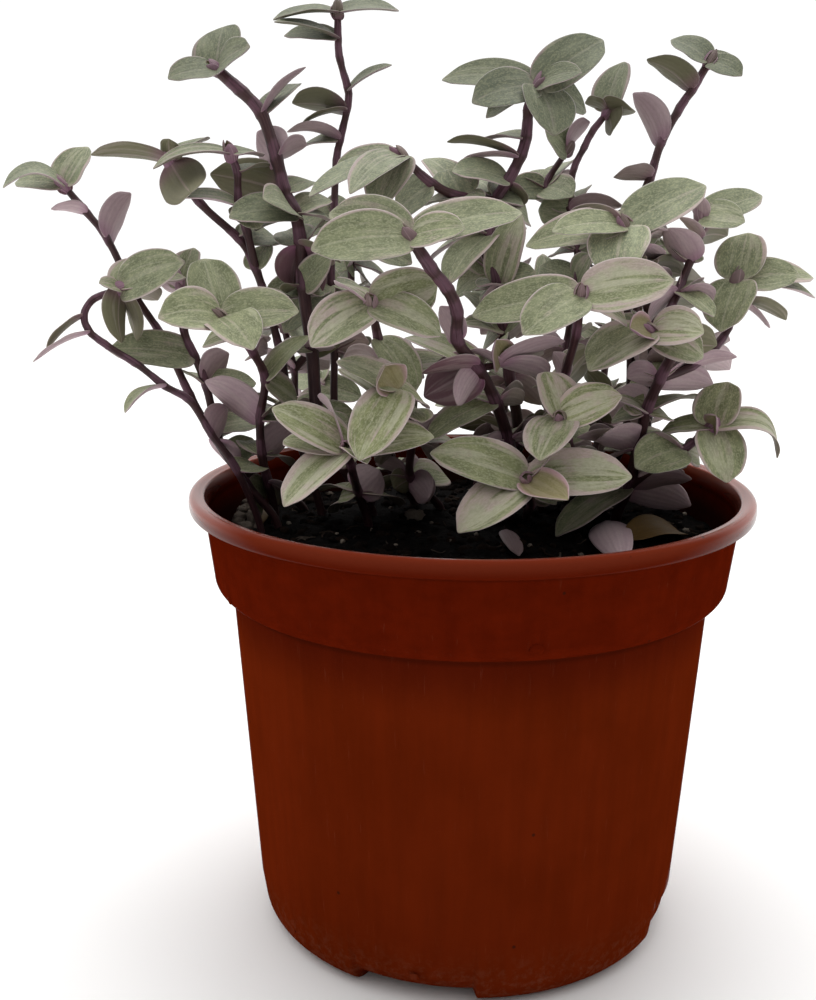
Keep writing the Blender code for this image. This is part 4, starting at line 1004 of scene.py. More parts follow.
def lump(chance, middle, size, detail):
    """A crumb round a middle: a small ball pushed out of shape, flatter than it is wide."""
    points, faces = small_ball(detail)
    seed = Vector((chance.uniform(0, 99), chance.uniform(0, 99), chance.uniform(0, 99)))
    stretch = Vector((chance.uniform(0.7, 1.3), chance.uniform(0.7, 1.3), chance.uniform(0.5, 0.9)))
    turn = Matrix.Rotation(chance.uniform(0, 2 * pi), 3, "Z")
    verts = []
    for point in points:
        push = 1 + 0.55 * noise.noise(point * 1.4 + seed) + 0.25 * noise.noise(point * 3.3 + seed)
        verts.append(turn @ (point * stretch) * size * push + middle)
    return verts, faces


def strewn(chance, reach):
    """A random place in a round patch, as its distance from the middle and its angle."""
    return reach * sqrt(chance.random()), chance.uniform(0, 2 * pi)


def kept_in(place, reach):
    """The place, moved towards the pot's axis if it lies further from it than that."""
    spread = hypot(place.x, place.y)
    return place * (reach / spread) if spread > reach else place


def add_clods(clay, chance):
    for _ in range(CLODS):
        spread, angle = strewn(chance, LOOSE_R)
        size = CLOD_LEAST + CLOD_RANGE * chance.random() ** 3
        middle = on_soil(spread * cos(angle), spread * sin(angle), 0.1 * size)
        verts, faces = lump(chance, middle, size, 2 if size > FINE_CLOD else 1)
        clay.add(verts, faces, soil_pale=0.0, soil_brown=chance.random() ** 2)


def add_fibres(clay, chance):
    last = FIBRE_POINTS - 1
    for _ in range(FIBRES):
        spread, angle = strewn(chance, LOOSE_R)
        spread = spread * 0.97
        heading = chance.uniform(0, 2 * pi)
        bent = chance.uniform(-FIBRE_BENT, FIBRE_BENT)
        reach = chance.uniform(*FIBRE_LONG)
        path = []
        for n in range(FIBRE_POINTS):
            x = spread * cos(angle) + cos(heading + bent * n / last) * reach * (n / last - 0.5)
            y = spread * sin(angle) + sin(heading + bent * n / last) * reach * (n / last - 0.5)
            if hypot(x, y) > LOOSE_R:
                x, y = x * LOOSE_R / hypot(x, y), y * LOOSE_R / hypot(x, y)
            path.append(on_soil(x, y, BIT_RISE))
        girth = chance.uniform(*FIBRE_R)
        radii = [girth * (0.5 + sin(pi * (n + 0.5) / FIBRE_POINTS) / 2) for n in range(FIBRE_POINTS)]
        clay.add(*tube(path, radii, FIBRE_SIDES), soil_pale=0.25 * chance.random(), soil_brown=1.0)


def add_crumbs(clay, chance):
    for col, row, size, pale, brown in CRUMBS:
        place = kept_in(on_level(col, row, SOIL_TOP_Z), LOOSE_R - size)
        middle = on_soil(place.x, place.y, 0.4 * size)
        clay.add(*lump(chance, middle, size, 3), soil_pale=pale, soil_brown=brown)


def add_heap(clay, chance):
    heap = on_level(*HEAP_PLACE, SOIL_TOP_Z)
    for _ in range(HEAP_CRUMBS):
        away, angle = strewn(chance, HEAP_R)
        size = chance.uniform(*HEAP_SIZE)
        place = Vector((heap.x + away * cos(angle), heap.y + away * sin(angle), 0.0))
        place = kept_in(place, LOOSE_R - size)
        rise = HEAP_HIGH * (1 - away / HEAP_R) * chance.random()
        verts, faces = lump(chance, on_soil(place.x, place.y, 0.4 * size + rise), size, 2)
        clay.add(verts, faces, soil_pale=chance.uniform(0.2, 0.7), soil_brown=1.0)


def add_strand(clay):
    last = STRAND_POINTS - 1
    path = []
    for n in range(STRAND_POINTS):
        col = STRAND_START[0] + STRAND_RUN[0] * n / last
        row = STRAND_START[1] + STRAND_RUN[1] * n / last + STRAND_SAG * sin(pi * n / last)
        spot = kept_in(on_level(col, row, SOIL_EDGE_Z), LOOSE_R - STRAND_CLEAR)
        path.append(on_soil(spot.x, spot.y, STRAND_RISE))
    clay.add(*tube(path, [STRAND_R] * STRAND_POINTS, 8), soil_pale=0.8, soil_brown=0.5)


def add_grit(clay, chance):
    places = [on_level(col, row, SOIL_EDGE_Z) for col, row in GRIT_PLACES]
    for _ in range(GRIT_STREWN):
        spread, angle = strewn(chance, LOOSE_R)
        places.append(Vector((spread * cos(angle), spread * sin(angle), 0.0)))
    for place in places:
        place = kept_in(place, LOOSE_R)
        verts, faces = lump(chance, on_soil(place.x, place.y, BIT_RISE), chance.uniform(*GRIT_SIZE), 2)
        clay.add(verts, faces, soil_pale=chance.uniform(0.5, 1.0), soil_brown=0.5)


def make_soil(finish):
    """Dark potting soil: a crumbly surface with loose crumbs, fibres and pale grit on it, inside the pot."""
    chance = Random(SOIL_SEED)
    clay = Clay()
    clay.add(*soil_body(), soil_pale=0.0, soil_brown=0.0)
    add_clods(clay, chance)
    add_fibres(clay, chance)
    add_crumbs(clay, chance)
    add_heap(clay, chance)
    add_strand(clay)
    add_grit(clay, chance)
    for vert in clay.verts:
        spread = hypot(vert.x, vert.y)
        room = collar_r(vert.z) - WALL - 0.1
        if vert.z > COLLAR_FOOT_Z + COLLAR_ROUND and spread > room:
            vert.x, vert.y = vert.x * room / spread, vert.y * room / spread
    clay.shown("soil_surface", finish, "peat", ["soil"])


# The pot, in full detail. NOTCH_EDGES are the mesh's angles round each end of a notch, and NOTCH_CLEAR is
# how near to it no others lie.
POT_TURNS = 200
NOTCH_EDGES = (-1.3, -0.9, -0.55, -0.25, 0.0, 0.25, 0.55, 0.9, 1.3)
NOTCH_CLEAR, NOTCH_SOFT = 1.7, 0.7
NOTCH_ROUND = 6.8
NOTCH_INSET = 0.5

# The foot's inner edge: how far out from FOOT_INNER_R, and how high.
FOOT_EDGE = ((0.0, 1.6), (0.2, 0.5), (0.6, 0.05), (1.4, 0.0))

# The moulding nubs on the wall: column, row, size and how deep each is sunk. Their shape is how wide, high
# and proud one is.
NUBS = ((537, 649, 1.25, 0.0), (548, 975, 0.75, 0.35), (414, 978, 0.8, 0.35), (230, 600, 0.9, 0.0))
NUB_WIDE, NUB_HIGH, NUB_PROUD = 1.1, 0.95, 0.35
DRAIN_SIDES = 32


def notched(angle):
    """How far a place round the foot lies in a notch: 0 on a foot, 1 in a notch."""
    for n in range(FOOT_NOTCHES):
        away = (angle - FIRST_NOTCH_DEG - 360.0 * n / FOOT_NOTCHES + 180.0) % 360.0 - 180.0
        if abs(away) < NOTCH_DEG / 2 + 1:
            return 1 - smooth_step(abs(away), NOTCH_DEG / 2 - NOTCH_SOFT, NOTCH_DEG / 2 + NOTCH_SOFT)
    return 0.0


def pot_profile():
    """The pot's section as pairs of a place on a foot and the same place in a notch."""
    lip_z = RIM_Z - LIP_DEEP
    inner = collar_r(lip_z) - WALL
    floor = [(0.0, FLOOR_Z), (6.0, FLOOR_Z), (FOOT_INNER_R - 1.0, FLOOR_Z)]
    floor += [(FOOT_INNER_R - 0.3, FLOOR_Z - 0.05)]
    pairs = [(place, place) for place in floor]
    for out, z in FOOT_EDGE:
        pairs.append(((FOOT_INNER_R + out, z), (FOOT_INNER_R + out, max(z, NOTCH_HIGH))))
    foot = arc(wall_r(0) - BASE_ROUND, BASE_ROUND, BASE_ROUND, -90, -4, 14)
    raised = arc(wall_r(2) - NOTCH_INSET - NOTCH_ROUND, NOTCH_HIGH + NOTCH_ROUND, NOTCH_ROUND, -90, -4, 14)
    pairs += list(zip(foot, raised))
    rest = [(wall_r(z), z) for z in (10.5, 16, 26, 38, 50, 62, 72)]
    rest += [(SHOULDER_R - 0.05, COLLAR_FOOT_Z - 0.9), (SHOULDER_R + 0.1, COLLAR_FOOT_Z - 0.25),
             (SHOULDER_R + 0.5, COLLAR_FOOT_Z)]
    rest += arc(COLLAR_FOOT_R - COLLAR_ROUND, COLLAR_FOOT_Z + COLLAR_ROUND, COLLAR_ROUND, -78, 0, 12)
    rest += [(collar_r(z), z) for z in (83, 87, 90.5, lip_z - 0.6)]
    rest += [(COLLAR_TOP_R + 0.15, lip_z - 0.15), (COLLAR_TOP_R + 0.6, lip_z)]
    rest += arc(RIM_R - 1.0, lip_z + 0.9, 0.9, -90, 0, 6)
    rest += [(RIM_R - 0.02, RIM_Z - 1.9)]
    rest += arc(RIM_R - 1.35, RIM_Z - 1.25, 1.25, 0, 90, 8)
    rest += [(RIM_R - 2.2, RIM_Z - 0.1), (RIM_INNER_R + 0.6, RIM_Z - 0.35)]
    rest += arc(RIM_INNER_R + 0.5, RIM_Z - 0.95, 0.6, 90, 180, 5)
    rest += [(inner + 0.05, RIM_Z - 2.4), (inner, lip_z - 1.0)]
    rest += [(collar_r(z) - WALL, z) for z in (90, 87, 83)]
    rest += inside_profile(0.0, COLLAR_FOOT_Z + COLLAR_ROUND + 1.5)[1:]
    return pairs + [(place, place) for place in rest]


def outer_r(z):
    """The pot's outer radius at a height, apart from its lip."""
    return wall_r(z) if z < COLLAR_FOOT_Z else collar_r(z)


def on_pot(col, row):
    """The place on the front of the pot that the picture shows at a column and row, and the way out."""
    depth = -RIM_R
    while depth < 0:
        place = sight(col, row, depth)
        if hypot(place.x, place.y) < outer_r(place.z):
            break
        depth += 0.05
    return place, Vector((place.x, place.y, 0.0)).normalized()


def make_pot(finish):
    """The moulded pot: its wall, collar and rolled rim, feet with notches, drain holes and moulding nubs."""
    degrees = [360.0 * k / POT_TURNS for k in range(POT_TURNS)]
    for n in range(FOOT_NOTCHES):
        for hand in (-1, 1):
            edge = FIRST_NOTCH_DEG + 360.0 * n / FOOT_NOTCHES + hand * NOTCH_DEG / 2
            degrees = [d for d in degrees if abs((d - edge + 180) % 360 - 180) > NOTCH_CLEAR]
            degrees += [(edge + shift) % 360 for shift in NOTCH_EDGES]
    degrees.sort()
    verts, rings = [], []
    for (foot_r, foot_z), (notch_r, notch_z) in pot_profile():
        count = len(degrees) if foot_r else 1
        rings.append(range(len(verts), len(verts) + count))
        for degree in degrees[:count]:
            share = notched(degree)
            spread = foot_r + (notch_r - foot_r) * share
            angle = radians(degree)
            height = foot_z + (notch_z - foot_z) * share
            verts.append(Vector((spread * cos(angle), spread * sin(angle), height)))
    clay = Clay()
    clay.add(verts, shell(rings, cap_start=False, cap_end=False))
    for nub in NUBS:
        clay.add(*nub_body(*nub))
    drill(clay.shown("nursery_pot", finish, "terracotta_plastic", ["pot"]))


def nub_body(col, row, size, sunk):
    """A flat uneven nub on the pot's wall."""
    place, out = on_pot(col, row)
    place = place - out * sunk
    rise = Vector((0, 0, 1))
    aside = rise.cross(out)
    points, faces = small_ball(3)
    verts = []
    for point in points:
        uneven = 1 + 0.25 * noise.noise(point * 1.3 + Vector((size * 9, 0, 0)))
        reach = aside * point.x * NUB_WIDE + rise * point.y * NUB_HIGH + out * point.z * NUB_PROUD
        verts.append(place + reach * size * uneven)
    return verts, faces


def drill(pot):
    """Cut the drain holes through the pot's floor."""
    holes = bpy.data.collections.new("drain_holes")
    for n in range(DRAIN_HOLES):
        angle = 2 * pi * n / DRAIN_HOLES
        foot = Vector((DRAIN_RING_R * cos(angle), DRAIN_RING_R * sin(angle), -1.0))
        top = foot + Vector((0, 0, 3 * WALL + FLOOR_Z))
        verts, faces = tube([foot, top], [DRAIN_R] * 2, DRAIN_SIDES)
        mesh = bpy.data.meshes.new("drain_hole")
        mesh.from_pydata([vert * MM + AXIS for vert in verts], [], faces)
        holes.objects.link(bpy.data.objects.new("drain_hole", mesh))
    cut = pot.modifiers.new("drain", "BOOLEAN")
    cut.operation, cut.solver = "DIFFERENCE", "EXACT"
    cut.operand_type, cut.collection = "COLLECTION", holes
    seen = pot.evaluated_get(bpy.context.evaluated_depsgraph_get())
    mesh = bpy.data.meshes.new_from_object(seen)
    pot.modifiers.clear()
    pot.data = mesh
    mesh.shade_smooth()
    mesh.set_sharp_from_angle(angle=radians(50))
    for hole in list(holes.objects):
        bpy.data.objects.remove(hole)
    bpy.data.collections.remove(holes)


# Finishes.
class Wire:
    """An output of a finish's nodes. Sums on wires and numbers add Math nodes."""

    def __init__(self, finish, socket):
        self.finish, self.socket = finish, socket

    def __add__(self, other):
        return self.finish.sum("ADD", self, other)

    __radd__ = __add__

    def __sub__(self, other):
        return self.finish.sum("SUBTRACT", self, other)

    def __rsub__(self, other):
        return self.finish.sum("SUBTRACT", other, self)

    def __mul__(self, other):
        return self.finish.sum("MULTIPLY", self, other)

    __rmul__ = __mul__

    def __abs__(self):
        return self.finish.sum("ABSOLUTE", self)


class Finish:
    """A material, and the few kinds of node that the finishes are made with."""

    def __init__(self, name):
        self.material = bpy.data.materials.new(name)
        self.material.use_nodes = True
        self.nodes = self.material.node_tree.nodes
        self.shader = self.nodes["Principled BSDF"]
        self.shader.inputs["Metallic"].default_value = 0.0

    def node(self, kind, settings, inputs, output=0):
        """Add a node: its settings first, and then the value or the wire of each of its inputs."""
        added = self.nodes.new(kind)
        for name, value in settings.items():
            setattr(added, name, value)
        for key, value in inputs.items():
            self.feed(added.inputs[key], value)
        return Wire(self, added.outputs[output])

    def feed(self, socket, value):
        if isinstance(value, Wire):
            self.material.node_tree.links.new(value.socket, socket)
        else:
            socket.default_value = value

    def sum(self, operation, *values):
        return self.node("ShaderNodeMath", {"operation": operation}, dict(enumerate(values)))

    def sine(self, value):
        return self.sum("SINE", value)

    def larger(self, first, second):
        return self.sum("MAXIMUM", first, second)

    def mark(self, name):
        """A number kept at each vertex."""
        return self.node("ShaderNodeAttribute", {"attribute_name": name}, {}, 2)

    def mark_place(self, name):
        """A vector kept at each vertex."""
        return self.node("ShaderNodeAttribute", {"attribute_name": name}, {}, 1)

    def place_mm(self):
        """Where a point of the piece is, in millimetres."""
        spot = self.node("ShaderNodeTexCoord", {}, {}, 3)
        return self.node("ShaderNodeVectorMath", {"operation": "SCALE"}, {0: spot, "Scale": 1000.0})

    def split(self, vector, part):
        return self.node("ShaderNodeSeparateXYZ", {}, {0: vector}, part)

    def joined(self, x, y, z):
        return self.node("ShaderNodeCombineXYZ", {}, {0: x, 1: y, 2: z})

    def stretched(self, vector, x, y, z):
        return self.node("ShaderNodeVectorMath", {"operation": "MULTIPLY"}, {0: vector, 1: (x, y, z)})

    def noise(self, vector, scale, detail=2.0, rough=0.5):
        return self.node("ShaderNodeTexNoise", {}, {"Vector": vector, "Scale": scale, "Detail": detail,
                                                    "Roughness": rough})

    def cells(self, vector, scale):
        """The distance to the nearest of scattered points."""
        return self.node("ShaderNodeTexVoronoi", {}, {"Vector": vector, "Scale": scale})

    def ramp(self, value, low, high):
        """0 below low, 1 above high, smooth between them; the other way round where low is the larger."""
        ends = {1: low, 2: high} if low < high else {1: high, 2: low, 3: 1.0, 4: 0.0}
        return self.node("ShaderNodeMapRange", {"interpolation_type": "SMOOTHSTEP"}, {0: value, **ends})

    def mix(self, share, first, second):
        """The first colour, with a share of the second."""
        return self.node("ShaderNodeMix", {"data_type": "RGBA"}, {0: share, 6: first, 7: second}, 2)

    def shaded(self, colour, share):
        """A colour with its light multiplied by a number."""
        return self.node("ShaderNodeVectorMath", {"operation": "SCALE"}, {0: colour, "Scale": share})

    def raised(self, height, distance_mm, strength):
        """Connect a height, 0 to 1, as fine relief."""
        bump = self.node("ShaderNodeBump", {}, {"Height": height, "Distance": distance_mm * MM,
                                                "Strength": strength})
        self.feed(self.shader.inputs["Normal"], bump)

    def finished(self, colour, rough, gloss):
        """The material, with its colour, its roughness and how strongly it reflects."""
        self.feed(self.shader.inputs["Base Color"], colour)
        self.feed(self.shader.inputs["Roughness"], rough)
        self.shader.inputs["Specular IOR Level"].default_value = gloss
        return self.material


def leaf_finish():
    """Striped leaf: grey-green above with soft broken streaks and pale margins, lilac or olive beneath."""
    made = Finish("striped_leaf")
    along, lane, upper = made.mark("leaf_along"), made.mark("leaf_lane"), made.mark("leaf_upper")
    warm, young, streaky = made.mark("leaf_warm"), made.mark("leaf_young"), made.mark("leaf_streaky")
    faded, lilac, tone_and_painted_shade = made.mark("leaf_faded"), made.mark("leaf_lilac"), made.mark("leaf_deep")
    spot = made.mark_place("leaf_mm")
    seed = made.split(spot, 2)
    edge = abs(lane)

    lanes = made.joined(lane * 1.8, along * 0.5, seed)
    fine_lanes = made.joined(lane * 6.0, along * 1.3, seed)
    grain = made.noise(made.stretched(spot, 3.0, 1.0, 1.0), 1.0, 3.0, 0.65)
    sand = made.noise(made.stretched(spot, 3.4, 2.0, 1.0), 1.0, 2.0, 0.6)
    broad = made.noise(lanes, 1.5, 2.0, 0.5)
    narrow = made.noise(fine_lanes, 1.0, 2.0, 0.6)
    mottle = made.noise(made.stretched(spot, 0.5, 0.25, 1.0), 1.0, 2.0)

    olive = made.mix(made.ramp(mottle, 0.3, 0.7), paint(114, 119, 80), paint(140, 145, 102))
    grey_green = made.mix(made.ramp(mottle, 0.3, 0.7), paint(114, 121, 101), paint(138, 144, 122))
    green = made.mix(warm, grey_green, olive)
    ribs = made.sine(lane * 24.0 + narrow * 3.0)
    green = made.shaded(green, 0.98 + 0.03 * ribs + 0.26 * (grain - 0.5))
    green = made.mix(made.ramp(sand + (grain - 0.5) * 0.5, 0.45, 0.64) * 0.5, green, paint(174, 175, 140))

    bold = 0.25 + 0.75 * made.ramp(streaky, 0.3, 0.9)
    streak = made.ramp(broad + (narrow - 0.5) * 0.4 + (streaky - 0.5) * 0.2, 0.53, 0.66) * (0.8 * bold)
    thin = made.ramp(narrow + (grain - 0.5) * 0.3 + (streaky - 0.5) * 0.1, 0.58, 0.7) * 0.42
    middle = made.ramp(edge + (narrow - 0.5) * 0.06, 0.07, 0.02) * 0.35
    frayed = edge + (broad - 0.5) * 0.9 + (narrow - 0.5) * 0.2 + (streaky - 0.5) * 0.2
    margin = made.ramp(frayed, 0.84, 1.0) * 0.9
    frayed_tip = along + (narrow - 0.5) * 0.2
    ends = made.larger(made.ramp(along, 0.12, 0.02), made.ramp(frayed_tip, 0.9, 0.98))
    pale = made.larger(made.larger(streak, thin), made.larger(middle, margin))
    pale = made.larger(pale, ends * 0.6) * (0.75 + 0.9 * (grain - 0.4))
    pale.socket.node.use_clamp = True
    cream_or_pink = made.ramp(made.noise(spot, 0.2) + (margin - 0.3) * 0.3, 0.38, 0.6)
    blush = made.mix(cream_or_pink, paint(188, 185, 162), paint(194, 172, 170))
    top = made.mix(pale, green, blush)
    young_top = made.mix(made.ramp(edge, 0.6, 0.95), paint(136, 122, 86), paint(178, 138, 148))
    young_top = made.shaded(young_top, 0.9 + 0.3 * (grain - 0.4))
    top = made.mix(young * 0.85, top, young_top)
    rim = made.ramp(edge, 0.96, 0.99) * made.ramp(along, 0.02, 0.12)
    top = made.mix(rim * 0.6, top, paint(206, 198, 194))
    # Painted shade darkens the upper face by the leaf's number, and a negative number paints light; part of
    # the number is a random tone.
    top = made.shaded(top, 1.03 - 0.38 * tone_and_painted_shade)

    veins = made.sine(lane * 24.0 + narrow * 5.0)
    dull = made.mix(made.noise(lanes, 1.0, 2.0), paint(100, 100, 74), paint(136, 130, 106))
    mauve = made.mix(made.noise(lanes, 1.0, 2.0), paint(160, 131, 141), paint(208, 187, 190))
    mauve = made.mix(young * 0.8, mauve, paint(136, 94, 118))
    under = made.mix(made.ramp(lilac, 0.0, 1.0), dull, mauve)
    # Lilac above 1 turns the underside deep maroon: partly its own colour, partly painted shade.
    under = made.mix(made.ramp(lilac, 1.0, 2.0) * 0.85, under, paint(104, 66, 76))
    under = made.mix(streak * 0.3, under, paint(210, 194, 190))
    under = made.mix(made.ramp(along, 0.35, 0.0) * 0.5, under, paint(142, 84, 122))
    under = made.mix(made.ramp(edge, 0.07, 0.02) * 0.3, under, paint(196, 170, 176))
    # Veins and grain vary the underside, and the leaf's painted shade darkens it more weakly than the top.
    under = made.shaded(under, (0.99 + 0.04 * veins + 0.4 * (grain - 0.5)) * (1.0 - 0.3 * tone_and_painted_shade))
    under = made.mix(rim * 0.4, under, paint(196, 176, 180))
    colour = made.mix(upper, under, top)
    dry = made.mix(grain, paint(62, 42, 9), paint(96, 68, 18))
    colour = made.mix(faded, colour, dry)

    made.raised(0.5 * grain + 0.14 * ribs + 0.3 * sand, 0.1, 0.7)
    made.shader.inputs["Sheen Weight"].default_value = 0.06
    made.shader.inputs["Sheen Roughness"].default_value = 0.4
    return made.finished(colour, 0.5 + 0.2 * grain, 0.22)


def stem_finish():
    """Maroon stem with fine lengthwise streaks, greener where it is young, and a pale blushed sheath."""
    made = Finish("maroon_stem")
    skin, sheath, fresh = made.mark_place("stem_skin"), made.mark("stem_sheath"), made.mark("stem_fresh")
    streaks = made.noise(made.stretched(skin, 2.4, 2.4, 0.14), 1.0, 3.0, 0.6)
    mottle = made.noise(made.stretched(skin, 0.8, 0.8, 0.12), 1.0, 3.0, 0.6)
    grain = made.noise(made.stretched(skin, 6.0, 6.0, 2.4), 1.0, 2.0)
    old = made.mix(made.ramp(streaks, 0.35, 0.7), paint(48, 24, 29), paint(70, 42, 45))
    new = made.mix(made.ramp(streaks, 0.35, 0.7), paint(66, 40, 44), paint(90, 66, 64))
    colour = made.mix(fresh * 0.6 + (mottle - 0.5) * 0.5, old, new)
    colour = made.mix(sheath * made.ramp(streaks, 0.25, 0.6) * 0.5, colour, paint(126, 88, 108))
    colour = made.shaded(colour, 0.9 + 0.3 * (grain - 0.4))
    made.raised(0.6 * streaks + 0.4 * grain, 0.06, 0.6)
    return made.finished(colour, 0.42 + 0.2 * streaks, 0.3)


def soil_finish():
    """Dark moist potting soil with brown fibres and a few pale grains."""
    made = Finish("peat")
    spot = made.place_mm()
    crumbs = made.noise(spot, 1.1, 5.0, 0.7)
    patches = made.noise(spot, 0.16, 2.0)
    pale, brown = made.mark("soil_pale"), made.mark("soil_brown")
    colour = made.mix(made.ramp(crumbs, 0.42, 0.74), paint(8, 7, 7), paint(24, 19, 17))
    colour = made.mix(patches * 0.4, colour, paint(15, 12, 11))
    colour = made.mix(brown * 0.5, colour, paint(52, 37, 28))
    colour = made.mix(pale, colour, made.mix(crumbs, paint(112, 100, 88), paint(176, 166, 154)))
    made.raised(crumbs, 0.9, 0.9)
    return made.finished(colour, 0.8 + 0.2 * crumbs, 0.06)


def pot_finish():
    """Moulded terracotta plastic: satin, faintly mottled, with flow lines, scuffs, specks of dirt and dust
    near the foot; painted shade on the collar, under its step, in the creases and on the inner wall near the
    soil, painted light on the lip's top and a painted highlight at its two sides.
    """
    made = Finish("terracotta_plastic")
    spot = made.place_mm()
    height = made.split(spot, 2)
    cloud = made.noise(spot, 0.045, 3.0, 0.55)
    flow = made.noise(made.stretched(spot, 0.35, 0.35, 0.03), 1.0, 3.0, 0.55)
    grain = made.noise(spot, 3.2, 3.0, 0.6)
    scuffs = made.ramp(made.noise(made.stretched(spot, 0.5, 0.5, 2.6), 1.0, 5.0, 0.75), 0.66, 0.8)
    specks = made.ramp(made.cells(spot, 0.12), 0.055, 0.03)
    colour = made.mix(made.ramp(cloud, 0.3, 0.7), paint(90, 27, 5), paint(97, 30, 7))
    # Painted shade: the collar is painted darker than the wall below it.
    collar = made.ramp(height, COLLAR_FOOT_Z - 0.4, COLLAR_FOOT_Z + 0.6)
    colour = made.mix(collar * 0.8, colour, paint(82, 17, 3))
    # Painted shadow: the wall just under the collar's step is painted darker.
    painted_shadow_under_step = made.ramp(height, COLLAR_FOOT_Z - 13.0, COLLAR_FOOT_Z - 1.0) * (1.0 - collar)
    colour = made.mix(painted_shadow_under_step * 0.6, colour, paint(68, 14, 5))
    blotch = made.noise(made.stretched(spot, 0.22, 0.22, 0.3), 1.0, 2.0, 0.6)
    colour = made.shaded(colour, 0.82 + 0.34 * flow + 0.1 * (grain - 0.5) + collar * 0.5 * (blotch - 0.5))
    streaks = made.noise(made.stretched(spot, 1.6, 1.6, 0.035), 1.0, 4.0, 0.65)
    colour = made.mix(made.ramp(streaks, 0.62, 0.8) * 0.14, colour, paint(150, 92, 76))
    # Painted shade: a dark line at the collar's foot and under the lip.
    for level, wide in ((COLLAR_FOOT_Z - 0.5, 1.3), (RIM_Z - LIP_DEEP - 0.4, 1.0)):
        painted_crease_shade = made.ramp(abs(height - level), wide, 0.1)
        colour = made.mix(painted_crease_shade * 0.5, colour, paint(46, 12, 4))
    lip = made.ramp(height, RIM_Z - LIP_DEEP + 0.1, RIM_Z - LIP_DEEP + 0.9)
    # Painted light: the lip is painted lighter towards its top.
    lip_with_painted_light = made.mix(made.ramp(height, RIM_Z - 3.2, RIM_Z - 0.6), paint(84, 22, 7), paint(106, 41, 24))
    colour = made.mix(lip * 0.9, colour, lip_with_painted_light)
    # Painted highlight: the top of the lip is painted pale pink at its left and right sides.
    aside = abs(made.split(spot, 0) - AXIS.x / MM)
    painted_side_highlight = made.ramp(height, RIM_Z - 2.2, RIM_Z - 0.5) * made.ramp(aside, 42.0, 58.0)
    colour = made.mix(painted_side_highlight * 0.4, colour, paint(200, 130, 118))
    # Painted shade: the inner wall is painted dark between the soil and a little below the rim.
    upright = made.stretched(spot, 1.0, 1.0, 0.0)
    spread = made.node("ShaderNodeVectorMath", {"operation": "DISTANCE"}, {0: upright, 1: AXIS / MM}, 1)
    slope = (COLLAR_TOP_R - COLLAR_FOOT_R) / (RIM_Z - LIP_DEEP - COLLAR_FOOT_Z - COLLAR_ROUND)
    from_collar = spread - (COLLAR_TOP_R + slope * (height - (RIM_Z - LIP_DEEP)))
    painted_inner_shade = made.ramp(from_collar, -0.35, -0.65) * made.ramp(height, RIM_Z - 3.0, RIM_Z - 9.0)
    painted_inner_shade = painted_inner_shade * made.ramp(height, SOIL_EDGE_Z - 4.0, SOIL_EDGE_Z - 3.0)
    colour = made.mix(painted_inner_shade * 0.75, colour, paint(30, 21, 19))
    colour = made.mix(scuffs * 0.12, colour, paint(150, 96, 80))
    dust = made.ramp(height, 16.0, 0.0) * made.ramp(made.noise(spot, 0.6, 4.0, 0.7), 0.42, 0.7)
    colour = made.mix(dust * 0.14, colour, paint(140, 112, 92))
    colour = made.mix(specks * 0.7, colour, paint(34, 22, 16))
    made.raised(0.5 * grain + 0.5 * flow, 0.05, 0.6)
    for name, value in (("Coat IOR", 2.2), ("Coat Roughness", 0.22)):
        made.shader.inputs[name].default_value = value
    grazing = made.node("ShaderNodeLayerWeight", {}, {"Blend": 0.35}, 1)
    on_lip = lip * made.ramp(grazing, 0.25, 0.9)
    made.feed(made.shader.inputs["Coat Weight"], on_lip + made.ramp(grazing, 0.8, 0.98) * 0.25)
    return made.finished(colour, 0.42 + 0.12 * grain + 0.16 * scuffs + 0.1 * cloud, 0.0)


def floor_finish():
    """A plain pale floor."""
    made = Finish("pale_floor")
    cloud = made.noise(made.place_mm(), 0.004, 2.0)
    return made.finished(made.mix(cloud, paint(244, 243, 242), paint(250, 250, 249)), 0.85, 0.1)


# The room's light by its heading: where the change starts and ends, and the light on each side.
ROOM_BEHIND = (-0.5, 0.6, 0.22, 1.08)
ROOM_ABOVE = (0.15, 1.0, 0.0, 0.85)
LAMP_AIM = (0.0, 0.0, 0.1)
LAMPS = (
    ("lamp_above", (0.1, 0.3, 1.3), 0.7, 5.0),
    ("lamp_left", (-1.1, 0.0, 0.9), 0.8, 1.2),
)
FLOOR_REACH = 4.0


def make_floor():
    reach = FLOOR_REACH
    mesh = bpy.data.meshes.new("floor")
    mesh.from_pydata([(-reach, -reach, 0), (reach, -reach, 0), (reach, reach, 0), (-reach, reach, 0)], [],
                     [(0, 1, 2, 3)])
    mesh.materials.append(floor_finish())
    floor = bpy.data.objects.new("floor", mesh)
    bpy.context.scene.collection.objects.link(floor)


def lamp(name, place, size, power):
    """A soft square lamp that looks at the plant."""
    light = bpy.data.lights.new(name, "AREA")
    light.shape, light.size, light.energy = "SQUARE", size, power
    made = bpy.data.objects.new(name, light)
    bpy.context.scene.collection.objects.link(made)
    made.location = place
    made.rotation_euler = (Vector(LAMP_AIM) - Vector(place)).to_track_quat("-Z", "Y").to_euler()


